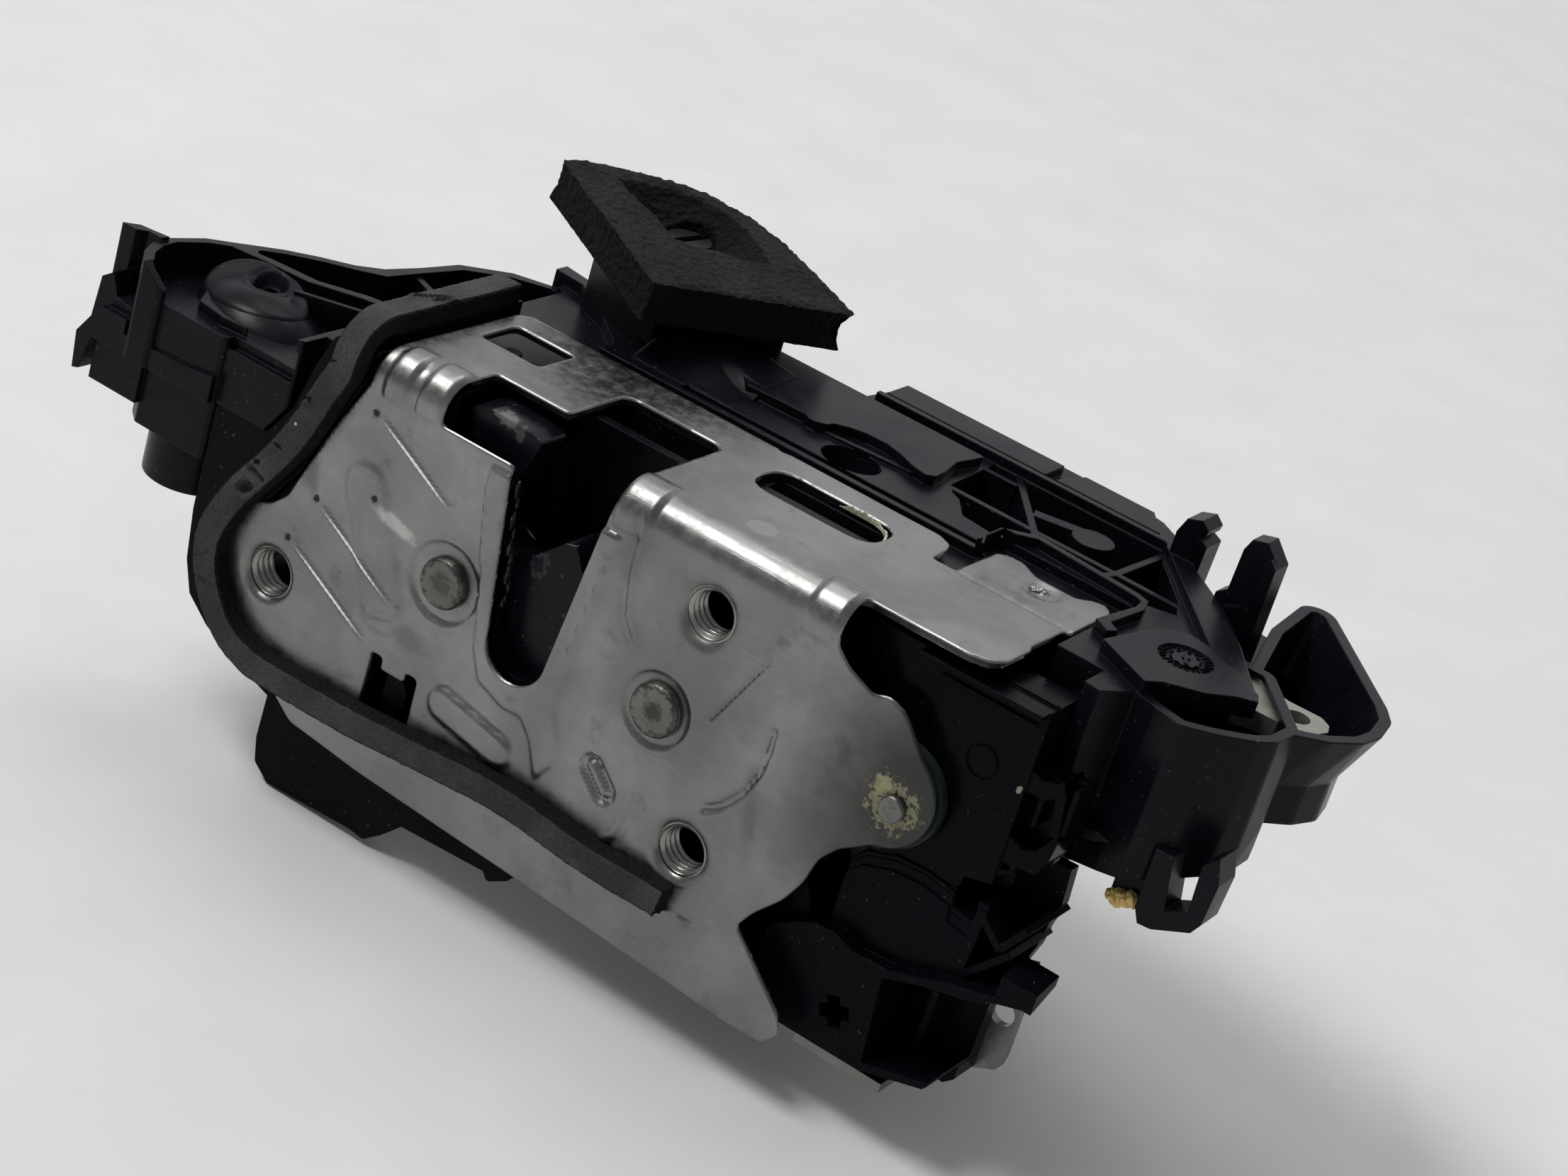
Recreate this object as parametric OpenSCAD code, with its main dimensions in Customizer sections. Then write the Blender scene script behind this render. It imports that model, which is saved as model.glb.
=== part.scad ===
// Car door lock: a riveted steel latch with its striker throat, bolted to the plastic
// housing of the locking drive. Millimetres.
// X runs along the face plate, Y runs into the door, Z rises out of the striker throat.
// The origin is the centre of the upper threaded hole, on the front of the face plate.

/* [Face plate] */
// Thickness of the stamped steel
plate_t = 1.5; // [1.3:0.1:1.6]
// Outer radius of the bend between the face and the flange
bend_r = 5; // [4.5:0.1:5.5]
// Height of the flange's outer face above the origin
flange_z = 12; // [11.9:0.1:12.2]
// Distance from the face to the far edge of the flange
flange_d = 34.8; // [34:0.2:35.2]
// Thread diameter of the three fixing holes
thread_d = 8; // [6:1:8]
// Outer diameter of the drawn collars that carry the threads
collar_d = 11.6; // [11:0.2:12.4]
// Length of the collars behind the plate
collar_h = 4.6; // [3.5:0.1:5]
// Height of the pressed ridges and pads
press_h = 0.5; // [0.3:0.1:0.6]
// Width of the striker throat where it meets the bend
throat_w = 17.4; // [16:0.2:18]
// Radius of the closed end of the throat
throat_r = 5.5; // [5:0.1:6]

/* [Latch] */
// Depth of the back plate's front face
back_y = 20; // [19.8:0.1:20.4]
// Depth of the front face of the catch and the pawl
catch_y = 4.6; // [4.2:0.1:4.8]
// Thickness of the coated catch and pawl
catch_t = 6.4; // [5.6:0.2:6.4]
// Largest radius of the catch
catch_r = 27; // [25:0.5:27]
// Turn of the catch from open to closed, in degrees
catch_turn = 65; // [58:1:68]
// Width of the slot in the catch that takes the striker
slot_w = 9.8; // [9:0.2:10.4]
// Diameter of the catch pivot where the catch turns
catch_pin_d = 10; // [8:0.5:11]
// Diameter of the pawl pivot where the pawl turns
pawl_pin_d = 8; // [7:0.5:9]
// Running clearance of every pivot, on the radius
run_gap = 0.05; // [0.03:0.01:0.08]

/* [Housing] */
// Wall thickness of the plastic shells
wall = 1.8; // [1.5:0.1:2.2]
// Height of the top deck beside the flange
deck_z = 12; // [11.6:0.1:12.4]
// Height of the raised back deck
upper_z = 13.6; // [13.2:0.1:14.4]
// Height of the dish floor at the left end
dish_z = 0.5; // [0:0.1:1]
// Height of the wall round the dish
dish_wall_z = 6; // [5:0.2:7]
// Height at which the two shells meet
joint_z = -10.5; // [-10.8:0.1:-10.2]
// Height of the outer face of the lower shell
floor_z = -26; // [-28:0.5:-25.5]
// Distance from the face plate to the back of the housing
back_d = 78.6; // [78:0.2:80]
// Front face of the rim that carries the seal
rim_y = 1.8; // [1.7:0.1:2]

/* [Seal and pad] */
// Width of the foam seal strip
seal_w = 5; // [4:0.2:5.6]
// Thickness of the foam seal strip
seal_t = 3; // [2.4:0.2:3.4]
// Side of the square foam pad
pad_w = 37.6; // [35.6:0.2:39]
// Thickness of the foam pad
pad_t = 7.2; // [6.6:0.2:8]

/* [Levers and drive] */
// Thickness of the cast release lever between the guard walls
lever_t = 3; // [2.4:0.2:3.2]
// Diameter of the cable eye in the cast lever
eye_d = 4; // [3:0.2:4.4]
// Swing of the cast lever, in degrees
lever_swing = 30; // [20:1:32]
// Diameter of the locking motor
motor_d = 20; // [18:0.2:20.2]
// Length of the locking motor
motor_l = 30; // [28:0.5:31]
// Tip diameter of the worm wheel
wheel_d = 24; // [22:0.5:24]
// Teeth on the worm wheel
wheel_teeth = 26; // [20:1:30]
// Travel of the locking slide
slide_travel = 12; // [8:1:12]

/* [Hidden] */
$fn = 48;
fit = 0.3;
hole_1 = [-75.4, -31.5];
hole_2 = [0, 0];
hole_3 = [6.6, -36.1];
catch_at = [-43.9, -17.2];
pawl_at = [-3.7, -17.6];
lobe_at = [34.5, -14.4];
bend_z = flange_z - bend_r;
throat_x = -28.7;
lobe_y = 4.25;
corner_y = 4.8;
wing_y = 7.4;
cover_y = 8.2;
mark_at = [43.3, -3];
key_at = [-57.4, 65.6];
pad_at = [-52.5, 62.1, 22.8];
pad_yaw = -28.8;
pad_tilt = -4.3;
pad_lean = 5.6;
shelf_r = 4.8;
seal_left = [
  [-69.2, 6], [-70.8, 2.6], [-73.4, -4.4], [-76.8, -11.4], [-82, -19.4], [-85.4, -26.6],
  [-85.6, -34], [-81, -41.6], [-75, -44.8]
];
seal_low = [
  [-76, -44.6], [-66.7, -45.6], [-51.8, -45.1], [-37.3, -43.8], [-22.6, -42.8], [-7.9, -43.9],
  [4.8, -43.8]
];
housing_y = 22.8;
shoulder_z = 7;
recess_at = [-7, 43.2];
shell_screws = [[-84, 41], [-60, 31], [26, 34]];
shell_posts = [[-62, -4], [13, -5]];
latch_posts = [[-58, -36], [16, -46]];
pin_count = 6;
pin_y = back_d - 12.1;
motor_x = -40;
worm_x = 4;
lever_at = [55.6, 37.9];
lever_z = 7.6;
pin_top = lever_z + lever_t + 1.8;
motor_at = [55, -13.6];
wheel_at = [4, 39.4];
wheel_z = motor_at[1] - 2.5;
pinion_r = 4.4;
rack_pitch = 2 * PI * pinion_r / 12;
rack_y = wheel_at[1] - pinion_r - 0.8;

// A slab with the X-Z outline of its children, from depth y over thickness t
module face_slab(y, t) {
  translate([0, y + t, 0]) rotate([90, 0, 0]) linear_extrude(t) children();
}

// A slab with the X-Y outline of its children, from height z over thickness t
module top_slab(z, t) {
  translate([0, 0, z]) linear_extrude(t) children();
}

// A rod along Y at an X-Z place
module y_rod(at, r, y0, y1) {
  translate([at[0], y1, at[1]]) rotate([90, 0, 0]) cylinder(r = r, h = y1 - y0);
}

// A rod along Z at an X-Y place
module z_rod(at, r, z0, z1) {
  translate([at[0], at[1], z0]) cylinder(r = r, h = z1 - z0);
}

// A rod along X at a Y-Z place
module x_rod(at, r, x0, x1) {
  translate([x0, at[0], at[1]]) rotate([0, 90, 0]) cylinder(r = r, h = x1 - x0);
}

// A box from one corner to the other
module span(a, b) {
  translate(a) cube(b - a);
}

// A straight bar of width w between two places of an outline
module bar(a, b, w) {
  d = b - a;
  translate(a) rotate(atan2(d[1], d[0])) translate([0, -w / 2]) square([norm(d), w]);
}

// The outline with its corners rounded to radius r
module soften(r) {
  offset(r = r, $fn = 24) offset(delta = -r) children();
}

// Throat and window in the face, widening from the closed end up to the bend
module throat_outline() {
  half = throat_w / 2;
  polygon([
    [throat_x - throat_r, -20.6],
    [throat_x - half - 0.2, 5.6],
    [-51.4, 5.6],
    [-51.4, bend_z + 9],
    [throat_x + half + 0.6, bend_z + 9],
    [throat_x + half, 5.6],
    [throat_x + throat_r, -20.6]
  ]);
  translate([throat_x, -20.6]) circle(throat_r);
}

// Outline of the face, drawn on its own developed plane
module face_outline() {
  soften(1) difference() {
    union() {
      polygon([
        [-65.2, bend_z + 3], [-65.4, 6], [-70.2, -4.1], [-73.7, -13.3], [-75.2, -17.6],
        [-78, -20.3], [-70, -32], [-76.5, -43.2], [-72.5, -47.4], [-65, -52.8],
        [-50.2, -54.1], [-17.2, -55.4], [22, -57.2], [28.2, -57], [30.4, -54.6],
        [29.4, -51.4], [18.9, -42], [20.6, -39], [23.7, -35.5], [25.4, -32],
        [26.4, -27.5], [28.5, -24.8], [32.4, -22.4], [33, -12.3], [34.6, -3.6],
        [31.6, -0.4], [28.9, 0.6], [26.4, 0], [22.6, 3], [20.5, 5.8], [20.5, bend_z + 3]
      ]);
      translate(hole_1) circle(11.5);
      translate([32.2, -13]) circle(8.4);
    }
    clip_notch();
  }
}

// Notch over the plastic clip, with the short tongue that hangs into it
module clip_notch() {
  polygon([
    [-53.4, -44.5], [-53.4, -34], [-51.2, -34], [-51.2, -36], [-46.5, -36],
    [-46.5, -34.3], [-44.3, -34.3], [-44.1, -44.5]
  ]);
}

// Section of the face along X: flat, then stepped back towards the lobe
module face_section() {
  polygon([
    [-90, 0], [20, 0], [27.6, lobe_y], [46, lobe_y], [46, lobe_y + plate_t],
    [27.1, lobe_y + plate_t], [19.5, plate_t], [-90, plate_t]
  ]);
}

// Straight pressed ridge on the front of the face
module face_ridge(a, b, w) {
  d = b - a;
  translate([a[0], 0, a[1]]) rotate([0, -atan2(d[1], d[0]), 0])
    rotate([0, 90, 0]) linear_extrude(norm(d))
      polygon([[-w / 2, 0.2], [0, -press_h], [w / 2, 0.2]]);
}

// Raised pad pressed into the front of the face
module face_pad(a, b, w) {
  face_slab(-press_h, press_h + 0.2) offset(r = w / 2, $fn = 24) bar(a, b, 0.02);
}

// Quarter-round bend between face and flange, from x0 to x1
module bend_shell(x0, x1, r, t) {
  at = [bend_r, bend_z];
  difference() {
    x_rod(at, r, x0, x1);
    x_rod(at, r - t, x0 - 1, x1 + 1);
    span([x0 - 1, bend_r, bend_z - 12], [x1 + 1, bend_r + 12, bend_z + 12]);
    span([x0 - 1, bend_r - 12, bend_z - 12], [x1 + 1, bend_r + 1, bend_z]);
  }
}

// Flange outline in X and Y
module flange_outline() {
  soften(0.9) difference() {
    polygon([
      [-64.6, bend_r - 2], [-64.6, flange_d - 2], [-62.8, flange_d], [-15, flange_d],
      [-14, flange_d - 0.5], [-12.6, flange_d], [14.6, flange_d], [17.3, flange_d - 1.4],
      [18, flange_d - 3.6], [18.2, 26.6], [22.3, 26.6], [22.4, 38.6], [24, 39.9],
      [26.6, 39.9], [30, 37.6], [36.8, 37.6], [38.6, 39.6], [40.6, 40.3], [42.4, 38.6],
      [42.4, 26.6], [41.4, 25.8], [41.2, 16.6], [41.8, 15.6], [41.8, 9],
      [40.4, 6.4], [37.6, 5.4], [20.5, 5.4], [20.5, bend_r - 2]
    ]);
    translate([-61.5, 20]) square([11.3, 9.3]);
  }
}

// Long slot of the flange
module flange_slot() {
  soften(2.6) translate([-10.8, 19.8]) square([22, 9.3]);
}

// Window over the throat, in X and Y
module window_outline() {
  polygon([
    [-51.4, -1], [-51.4, 11.2], [-37.4, 11.2], [-37.4, 24.6], [-36, 26],
    [-20.4, 26], [-19, 24.6], [-19, 8], [-19.4, -1]
  ]);
}

module latch_plate() {
  color("#a9a9a6") difference() {
    union() {
      intersection() {
        union() {
          top_slab(-42, 42 + bend_z) face_section();
          span([-90, 0, -60], [40, plate_t, -42]);
        }
        face_slab(-1, 10) difference() {
          face_outline();
          throat_outline();
        }
      }
      bend_shell(-65, 20.5, bend_r, plate_t);
      for (bead = [[-62.6, -58.4], [-56.4, -52.2], [-18.6, -15], [14.4, 19.6]])
        bend_shell(bead[0], bead[1], bend_r + press_h, plate_t);
      top_slab(flange_z - plate_t, plate_t) difference() {
        flange_outline();
        square([400, 2 * bend_r], center = true);
      }
      for (at = [hole_1, hole_2, hole_3]) y_rod(at, collar_d / 2, 0.4, plate_t + collar_h);
      y_rod(catch_at, 6.2, plate_t, plate_t + 0.5);
      y_rod(pawl_at, 5.6, plate_t, plate_t + 0.5);
      pressed_ridges();
    }
    top_slab(5.6, flange_z) window_outline();
    top_slab(5, 20) flange_slot();
    for (at = [hole_1, hole_2, hole_3]) y_rod(at, thread_d / 2, -1, 12);
    y_rod(catch_at, 6.4, -1, 0.5);
    y_rod(pawl_at, 5.8, -1, 0.5);
    y_rod(catch_at, 3, -1, 4);
    y_rod(pawl_at, 3, -1, 4);
    y_rod(lobe_at, 1.5, 0, 8);
    z_rod([33, 34.2], 3, flange_z - 0.4, flange_z + 1);
  }
}

// Ridges, pads and arcs pressed into the face
module pressed_ridges() {
  for (line = [
    [[-62.2, 2.2], [-45.4, -6.3]],
    [[-69.3, -16], [-51.1, -25.3]],
    [[-72.8, -24.1], [-54.4, -33.3]],
    [[12, -0.7], [4.1, -16.9]],
    [[-41.2, 0.6], [-38.2, -15]],
    [[-16.9, 0.8], [-20.6, -21]],
    [[-41, -33], [-26, -34.4]],
    [[7, -46], [12.6, -45.6]]
  ]) face_ridge(line[0], line[1], 1.3);
  face_pad([-38.4, -36.2], [-27.6, -37.2], 4.4);
  face_pad([-11.8, -31], [-8, -34.4], 3.2);
  difference() {
    y_rod([4.4, -16.6], 11, -press_h * 0.7, 0.2);
    y_rod([4.4, -16.6], 9.8, -1, 1);
    span([-20, -2, -60], [4.4, 2, 10]);
    span([0, -2, -14], [30, 2, 10]);
  }
}

// Outline shared by the back plate and the rear of the latch housing
module back_outline() {
  soften(1.5) polygon([
    [-60, 8], [-63, -8], [-66, -22], [-66, -40], [-54, -50.5], [10, -54],
    [28, -57.2], [47, -57.2], [56.6, -52.6], [57, -50], [57, -40.5], [51.4, -36], [51, -15],
    [42, -11], [30, -6], [20.4, 4], [18, 8]
  ]);
}

module back_plate() {
  color("#9b9b97") difference() {
    union() {
      face_slab(back_y, plate_t) back_outline();
      span([30.8, 5.4, -55.6 - plate_t], [46, back_y + 0.5, -55.6]);
    }
    for (at = [catch_at, pawl_at]) y_rod(at, 3.5, back_y - 1, back_y + 4);
    y_rod([54.4, -43.8], 2, back_y - 1, back_y + 4);
    for (at = concat(latch_posts, shell_posts)) y_rod(at, 1.6, back_y - 1, back_y + 4);
    face_slab(back_y - 1, 4) soften(1.5) polygon([[-38, 3], [-20, 3], [-23, -24], [-34, -24]]);
  }
}

// Block of plastic between the two steel plates, without its chambers
module latch_block() {
  face_slab(rim_y, 4) rim_outline();
  seal_shelf();
  seal_seat();
  face_slab(rim_y, 8) soften(1) polygon([
    [-62, 10.2], [-67, -8], [-71, -21], [-66, -24.6], [-66.5, -39], [-62, -48],
    [-50, -52], [16, -54], [18, -44], [19, -30], [19, 2], [17, 10.2]
  ]);
  face_slab(8, back_y - 8 - fit / 2) soften(1) polygon([
    [-58, 10.2], [-61, -8], [-64, -22], [-64, -39], [-54, -48.6], [12, -53],
    [24, -55.4], [42, -55.2], [52.8, -52.2], [53, -37], [46, -37.4], [33, -39.4],
    [26, -38.6], [22, -30], [19, 2], [17, 10.2]
  ]);
  corner_block();
}

// Raised corner below the lobe, in X and Z
module corner_outline() {
  polygon([
    [17, -47], [19.1, -45.3], [22.2, -41.4], [25.3, -39], [28.6, -37.5], [32.3, -37.3],
    [35.9, -38.5], [41.3, -38.1], [47.1, -36.1], [51.1, -34.6], [57, -33.2], [57, -34.6],
    [53.2, -36], [53, -51.4], [52.4, -52.2], [42, -55.2], [24, -55.4], [17, -54.2]
  ]);
}

// Panel beside the corner with a rounded upper edge, in X and Z
module wing_outline() {
  polygon([
    [29.4, -39.5], [29.4, -26.6], [31.4, -24.4], [36, -22.7], [40.9, -22.2], [46, -23],
    [46.4, -25.4], [50.2, -26], [50, -39.5]
  ]);
}

// Deep pocket in the corner, open to the front and to the right
module corner_pocket() {
  polygon([
    [41, -39.6], [42.2, -53.8], [52.7, -51], [60, -49], [60, -34.4], [57.4, -34.8],
    [47.1, -37.4]
  ]);
}

// Corner, panel, ribs and rail that carry the right end of the latch housing
module corner_block() {
  back = back_y - fit / 2;
  face_slab(corner_y, back - corner_y) corner_outline();
  for (step = [[wing_y, 2.4], [wing_y + 0.35, 0.9], [wing_y + 0.5, 0.2]])
    face_slab(step[0], cover_y - 0.1 - step[0]) intersection() {
      wing_outline();
      translate([0, -step[1]]) wing_outline();
    }
  face_slab(cover_y - 0.2, back - cover_y + 0.2) intersection() {
    wing_outline();
    translate([20, -60]) square([40, 35.2]);
  }
  face_slab(wing_y, back - wing_y) {
    bar([51, -23.4], [50.3, -36.4], 1.6);
    bar([51.1, -24.1], [55.3, -27.6], 1.2);
    bar([51.2, -34], [57, -27.4], 1.1);
    bar([55.3, -27.4], [58.2, -22.6], 1.2);
  }
  face_slab(corner_y, back - corner_y)
    polygon([[46, -37.6], [51.1, -34.8], [57.2, -33], [57.2, -34], [47, -38.4]]);
  face_slab(corner_y, 2)
    polygon([[57, -33.1], [62.9, -31.4], [63.8, -31.1], [63.6, -32], [57, -34.1]]);
  translate([58, 0, 0]) rotate([90, 0, 90]) linear_extrude(5.8) polygon([
    [corner_y, -32.4], [corner_y, -29.3], [corner_y + 5.8, -27.9], [corner_y + 5.8, -29.6]
  ]);
  top_slab(-23.6, 1.2) polygon([[50, 7.6], [49.6, 12], [51.4, back], [53.2, back], [51.6, 7.8]]);
  face_slab(back - 2.2, 2.2) polygon([
    [50.9, -16.4], [57.6, -16.2], [58, -22], [57, -26.6], [56.6, -30], [55.4, -34],
    [50, -36.6], [50, -20.4], [50.9, -20.2]
  ]);
}

// Space swept by the catch, the pawl and the release lever, in X and Z
module latch_chamber() {
  translate(catch_at) {
    circle(14);
    intersection() {
      circle(catch_r + 1);
      polygon([[-9, 0], [-14, 60], [60, 60], [60, -60], [-7, -60]]);
    }
  }
  translate(pawl_at) circle(10.4);
  polygon([[-6, -8.4], [30, -14], [30, -26], [14, -34], [-14, -44], [-34, -44.6], [-40, -30]]);
}

module latch_housing() {
  color("#17181a") difference() {
    latch_block();
    face_slab(catch_y - 0.8, 13.4 - catch_y) latch_chamber();
    face_slab(0, 17) throat_outline();
    face_slab(17, 1) offset(delta = -1.4) throat_outline();
    top_slab(-14, 40) polygon([[-51.4, -1], [-51.4, 14], [-20, 14], [-20, -1]]);
    for (at = [hole_1, hole_2, hole_3]) y_rod(at, collar_d / 2 + 0.4, 0, 12.5);
    y_rod(catch_at, catch_pin_d / 2 + 0.2, 0, 30);
    y_rod(catch_at, 10.6, 12, 15.6);
    y_rod(pawl_at, 8.6, 12, 15.6);
    y_rod(pawl_at, pawl_pin_d / 2 + 0.2, 0, 30);
    for (at = concat(latch_posts, shell_posts)) y_rod(at, 1.6, 12, 30);
    face_slab(12, 5) buffer_outline();
    face_slab(0, 6.4) polygon([[-53.8, -33.4], [-53.8, -46], [-43.6, -46], [-43.6, -33.4]]);
    face_slab(corner_y - 1, 18 - corner_y) corner_pocket();
    face_slab(corner_y - 1, 13) for (a = [0, 90]) translate([35.7, -48.8]) rotate(a + 20)
      square([5, 2.2], center = true);
    span([-62.4, 0, 10.3], [60, 40, 20]);
    for (at = [catch_at, pawl_at]) y_rod(at, 6.6, 0, 2.3);
    span([-80, 6.2, joint_z - fit], [-66 + fit, 12, dish_wall_z + fit]);
    difference() {
      span([-66, -1, bend_z], [30, bend_r, 20]);
      x_rod([bend_r, bend_z], bend_r - plate_t - 0.2, -67, 31);
    }
  }
  color("#17181a") {
    span([46, 12, -54], [47.2, back_y - fit / 2, -38.5]);
    face_slab(14, back_y - 14 - fit / 2)
      polygon([[40, -54.4], [40, -55.4], [51.5, -55.4], [53, -54], [53, -51.6], [42, -54]]);
    face_slab(rim_y + 0.1, catch_y - rim_y - 0.6) soften(0.4) polygon([
      [-50.8, -39], [-50.8, -37], [-47.6, -36.9], [-46.6, -38.4], [-46.6, -41], [-50.8, -41.6]
    ]);
    face_slab(rim_y + 0.4, catch_y - rim_y - 0.9) bar([-49, -47], [-49, -38.6], 2);
  }
}

// Section of the rubber stop under the closed end of the throat
module buffer_outline() {
  difference() {
    soften(1) translate([-34.4, -30.6]) square([11.6, 8]);
    throat_outline();
  }
}

module striker_buffer() {
  color("#1c1c1e") face_slab(12, 5) buffer_outline();
}

// Profile of the catch in its closed position, about its pivot
module catch_profile() {
  difference() {
    union() {
      circle(12);
      intersection() {
        circle(catch_r);
        polygon([[0, 0], [44, 34], [60, 0], [44, -36], [20, -60], [-4, -60], [-6, 0]]);
      }
    }
    translate([14.8, -1.6]) circle(slot_w / 2);
    polygon([
      [14.8, -1.6 + slot_w / 2], [40, 5.4], [40, -17], [14, -1.6 - slot_w / 2]
    ]);
    difference() {
      circle(40);
      circle(22.5);
      polygon([[0, 0], [-10, -60], [40, -60], [44, -33]]);
      polygon([[0, 0], [44, 0], [44, 60], [0, 60]]);
    }
  }
}

// The catch turned back from closed to open about its pivot, over a depth range
module catch_slab(y, t) {
  translate([catch_at[0], 0, catch_at[1]]) rotate([0, -catch_turn, 0])
    face_slab(y, t) children();
}

module catch() {
  color("#86898c") difference() {
    catch_slab(catch_y + 1.2, catch_t - 2.4) intersection() {
      offset(delta = -1.1) catch_profile();
      circle(catch_r - 1.1);
    }
    y_rod(catch_at, catch_pin_d / 2 + run_gap, 0, 20);
  }
}

module catch_coating() {
  color("#141416") difference() {
    catch_slab(catch_y, catch_t) soften(0.6) catch_profile();
    y_rod(catch_at, catch_pin_d / 2 + run_gap, 0, 20);
    catch();
  }
}

// A place beside the rim of the catch, at an angle and a distance from the rim
function beside_rim(angle, gap) = catch_at + (catch_r + gap) * [cos(angle), sin(angle)];

// Profile of the pawl at rest beside the rim of the catch, in X and Z
module pawl_profile() {
  translate(pawl_at) circle(8);
  polygon([
    [-10.6, -13.6], beside_rim(-21.8, 1.5), beside_rim(-33.1, 0.8), beside_rim(-36.5, 4.2),
    [-15.6, -35.2], [1.6, -23.4]
  ]);
  polygon([[-1, -9.9], [12.6, -15.2], [14.6, -18], [12.8, -21.2], [-1, -25.2]]);
}

module pawl() {
  color("#8a8d90") {
    difference() {
      face_slab(catch_y + 1.2, catch_t - 2.4) offset(delta = -1) pawl_profile();
      y_rod(pawl_at, pawl_pin_d / 2 + run_gap, 0, 20);
      span([8.6, 0, -30], [20, catch_y + 3.6, 0]);
    }
    y_rod([12.2, -18], 1.4, catch_y + 0.4, catch_y + 3.8);
  }
}

module pawl_coating() {
  color("#141416") difference() {
    face_slab(catch_y, catch_t) soften(0.6) pawl_profile();
    y_rod(pawl_at, pawl_pin_d / 2 + run_gap, 0, 20);
    span([8.6, 0, -30], [20, catch_y + 3.5, 0]);
    pawl();
  }
}

// Stepped pivot, riveted into both plates
module pivot(at, neck_r, pin_d, head_r) {
  y_rod(at, head_r, -0.2, 0.5);
  translate([at[0], -0.2, at[1]]) rotate([90, 0, 0])
    cylinder(r1 = head_r, r2 = head_r - 1, h = 0.5);
  y_rod(at, neck_r, 0, 4);
  y_rod(at, pin_d / 2, plate_t + 0.5, back_y);
  y_rod(at, 3.5, back_y - 0.5, back_y + plate_t);
  y_rod(at, 5, back_y + plate_t, back_y + plate_t + 1);
}

module catch_pivot() {
  color("#8f9190") pivot(catch_at, 3, catch_pin_d, 4);
}

module pawl_pivot() {
  color("#8f9190") pivot(pawl_at, 3, pawl_pin_d, 4.3);
}

module lobe_rivet() {
  color("#8f9190") {
    y_rod(lobe_at, 1.5, lobe_y - 0.3, lobe_y + 2);
    y_rod(lobe_at, 2.1, lobe_y - 0.7, lobe_y);
    y_rod(lobe_at, 2.5, lobe_y + plate_t, 8);
    y_rod(lobe_at, 3.6, 8, 8.8);
  }
}

module release_lever() {
  color("#1f3a33") difference() {
    face_slab(6.1, 1.6) {
      translate([32.6, -13.4]) circle(8.3);
      soften(0.8) polygon([
        [34, -7.4], [22, -17.6], [13.6, -19.9], [11, -20.2], [11, -23.4], [15, -23.4],
        [34, -22.4]
      ]);
    }
    y_rod(lobe_at, 2.5 + run_gap, 0, 20);
  }
}

// Close wound coil with two straight legs, seen along Y
module leg_spring(at, r, wire, y0, turns, leg, leg_a, leg_b) {
  pitch = wire * 0.9;
  for (i = [0:turns - 1]) translate([at[0], y0 + wire / 2 + i * pitch, at[1]])
    rotate([90, 0, 0]) rotate_extrude() translate([r, 0]) circle(wire / 2, $fn = 16);
  for (end = [[leg_a, 0], [leg_b, turns - 1]])
    translate([at[0], y0 + wire / 2 + end[1] * pitch, at[1]]) rotate([0, -end[0], 0])
      translate([0, 0, r]) rotate([0, 50, 0]) cylinder(d = wire * 0.85, h = leg, $fn = 16);
}

module catch_spring() {
  color("#6d6f72") leg_spring(catch_at, 7.2, 1.3, 12.7, 2, 3, -60, 150);
}

module pawl_spring() {
  color("#6d6f72") leg_spring(pawl_at, 5.4, 1.1, 12.7, 2, 2.6, 200, 60);
}

// Front of the smooth cover beside the face plate, in X and Z
module inner_cover_outline() {
  soften(0.6) polygon([
    [20.6, 8.5], [50.6, 8.5], [50.6, -19.4], [46.4, -20.4], [46, -22.6],
    [36, -22.6], [30, -24.4], [26.4, -28], [23, -28], [20.6, 4]
  ]);
}

// Cradle for a cable clip on the right wall of the smooth cover
module clip_cradle() {
  face_slab(cover_y + 0.4, 5.6) {
    polygon([
      [50.4, -0.6], [52.4, -1.4], [54.4, -0.8], [55.6, 0.2], [56.2, -2], [53.6, -4], [50.4, -4]
    ]);
    polygon([[55, -2], [56.4, -1.4], [57.4, -8], [56, -8.4]]);
    polygon([
      [50.4, -11.2], [52.9, -12.4], [55, -11.4], [57, -8], [57.6, -8.6], [57.2, -12],
      [55.8, -15], [52.8, -15.2], [50.4, -15]
    ]);
    translate([52.9, -8.4]) square([0.7, 5]);
    translate([57.4, -7.4]) square([0.8, 7.2]);
    difference() {
      polygon([[50.4, -14.8], [53, -14.8], [52.8, -16.8], [50.8, -17.8], [50.4, -17.8]]);
      polygon([[50.8, -15.6], [52.2, -15.6], [52.1, -16.4], [50.8, -16.8]]);
    }
  }
  face_slab(cover_y + 4, 2) polygon([
    [50.4, -1], [55.6, -0.6], [58.2, -0.2], [58.2, -7.4], [57, -8], [56.6, -14], [50.4, -15]
  ]);
}

module inner_cover() {
  color("#101114") difference() {
    union() {
      face_slab(cover_y, 1.5) inner_cover_outline();
      span([33.5, cover_y - 0.5, 5.5], [49.2, cover_y + 0.2, 6.1]);
      span([22, cover_y, 7], [50.6, 17, 8.5]);
      span([30, 6, 7.8], [50.4, cover_y + 0.2, 8.5]);
      span([41.5, 10.3, 8.3], [50.4, 10.9, 8.9]);
      span([49, cover_y, -19.4], [50.6, 19.6, 8.5]);
      span([30, cover_y, -24.2], [46, 17, -22.8]);
      clip_cradle();
    }
    y_rod(lobe_at, 4.4, 0, 20);
    difference() {
      y_rod(mark_at, 2.7, cover_y - 1, cover_y + 0.3);
      y_rod(mark_at, 2.2, cover_y - 2, cover_y + 1);
    }
  }
}

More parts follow.
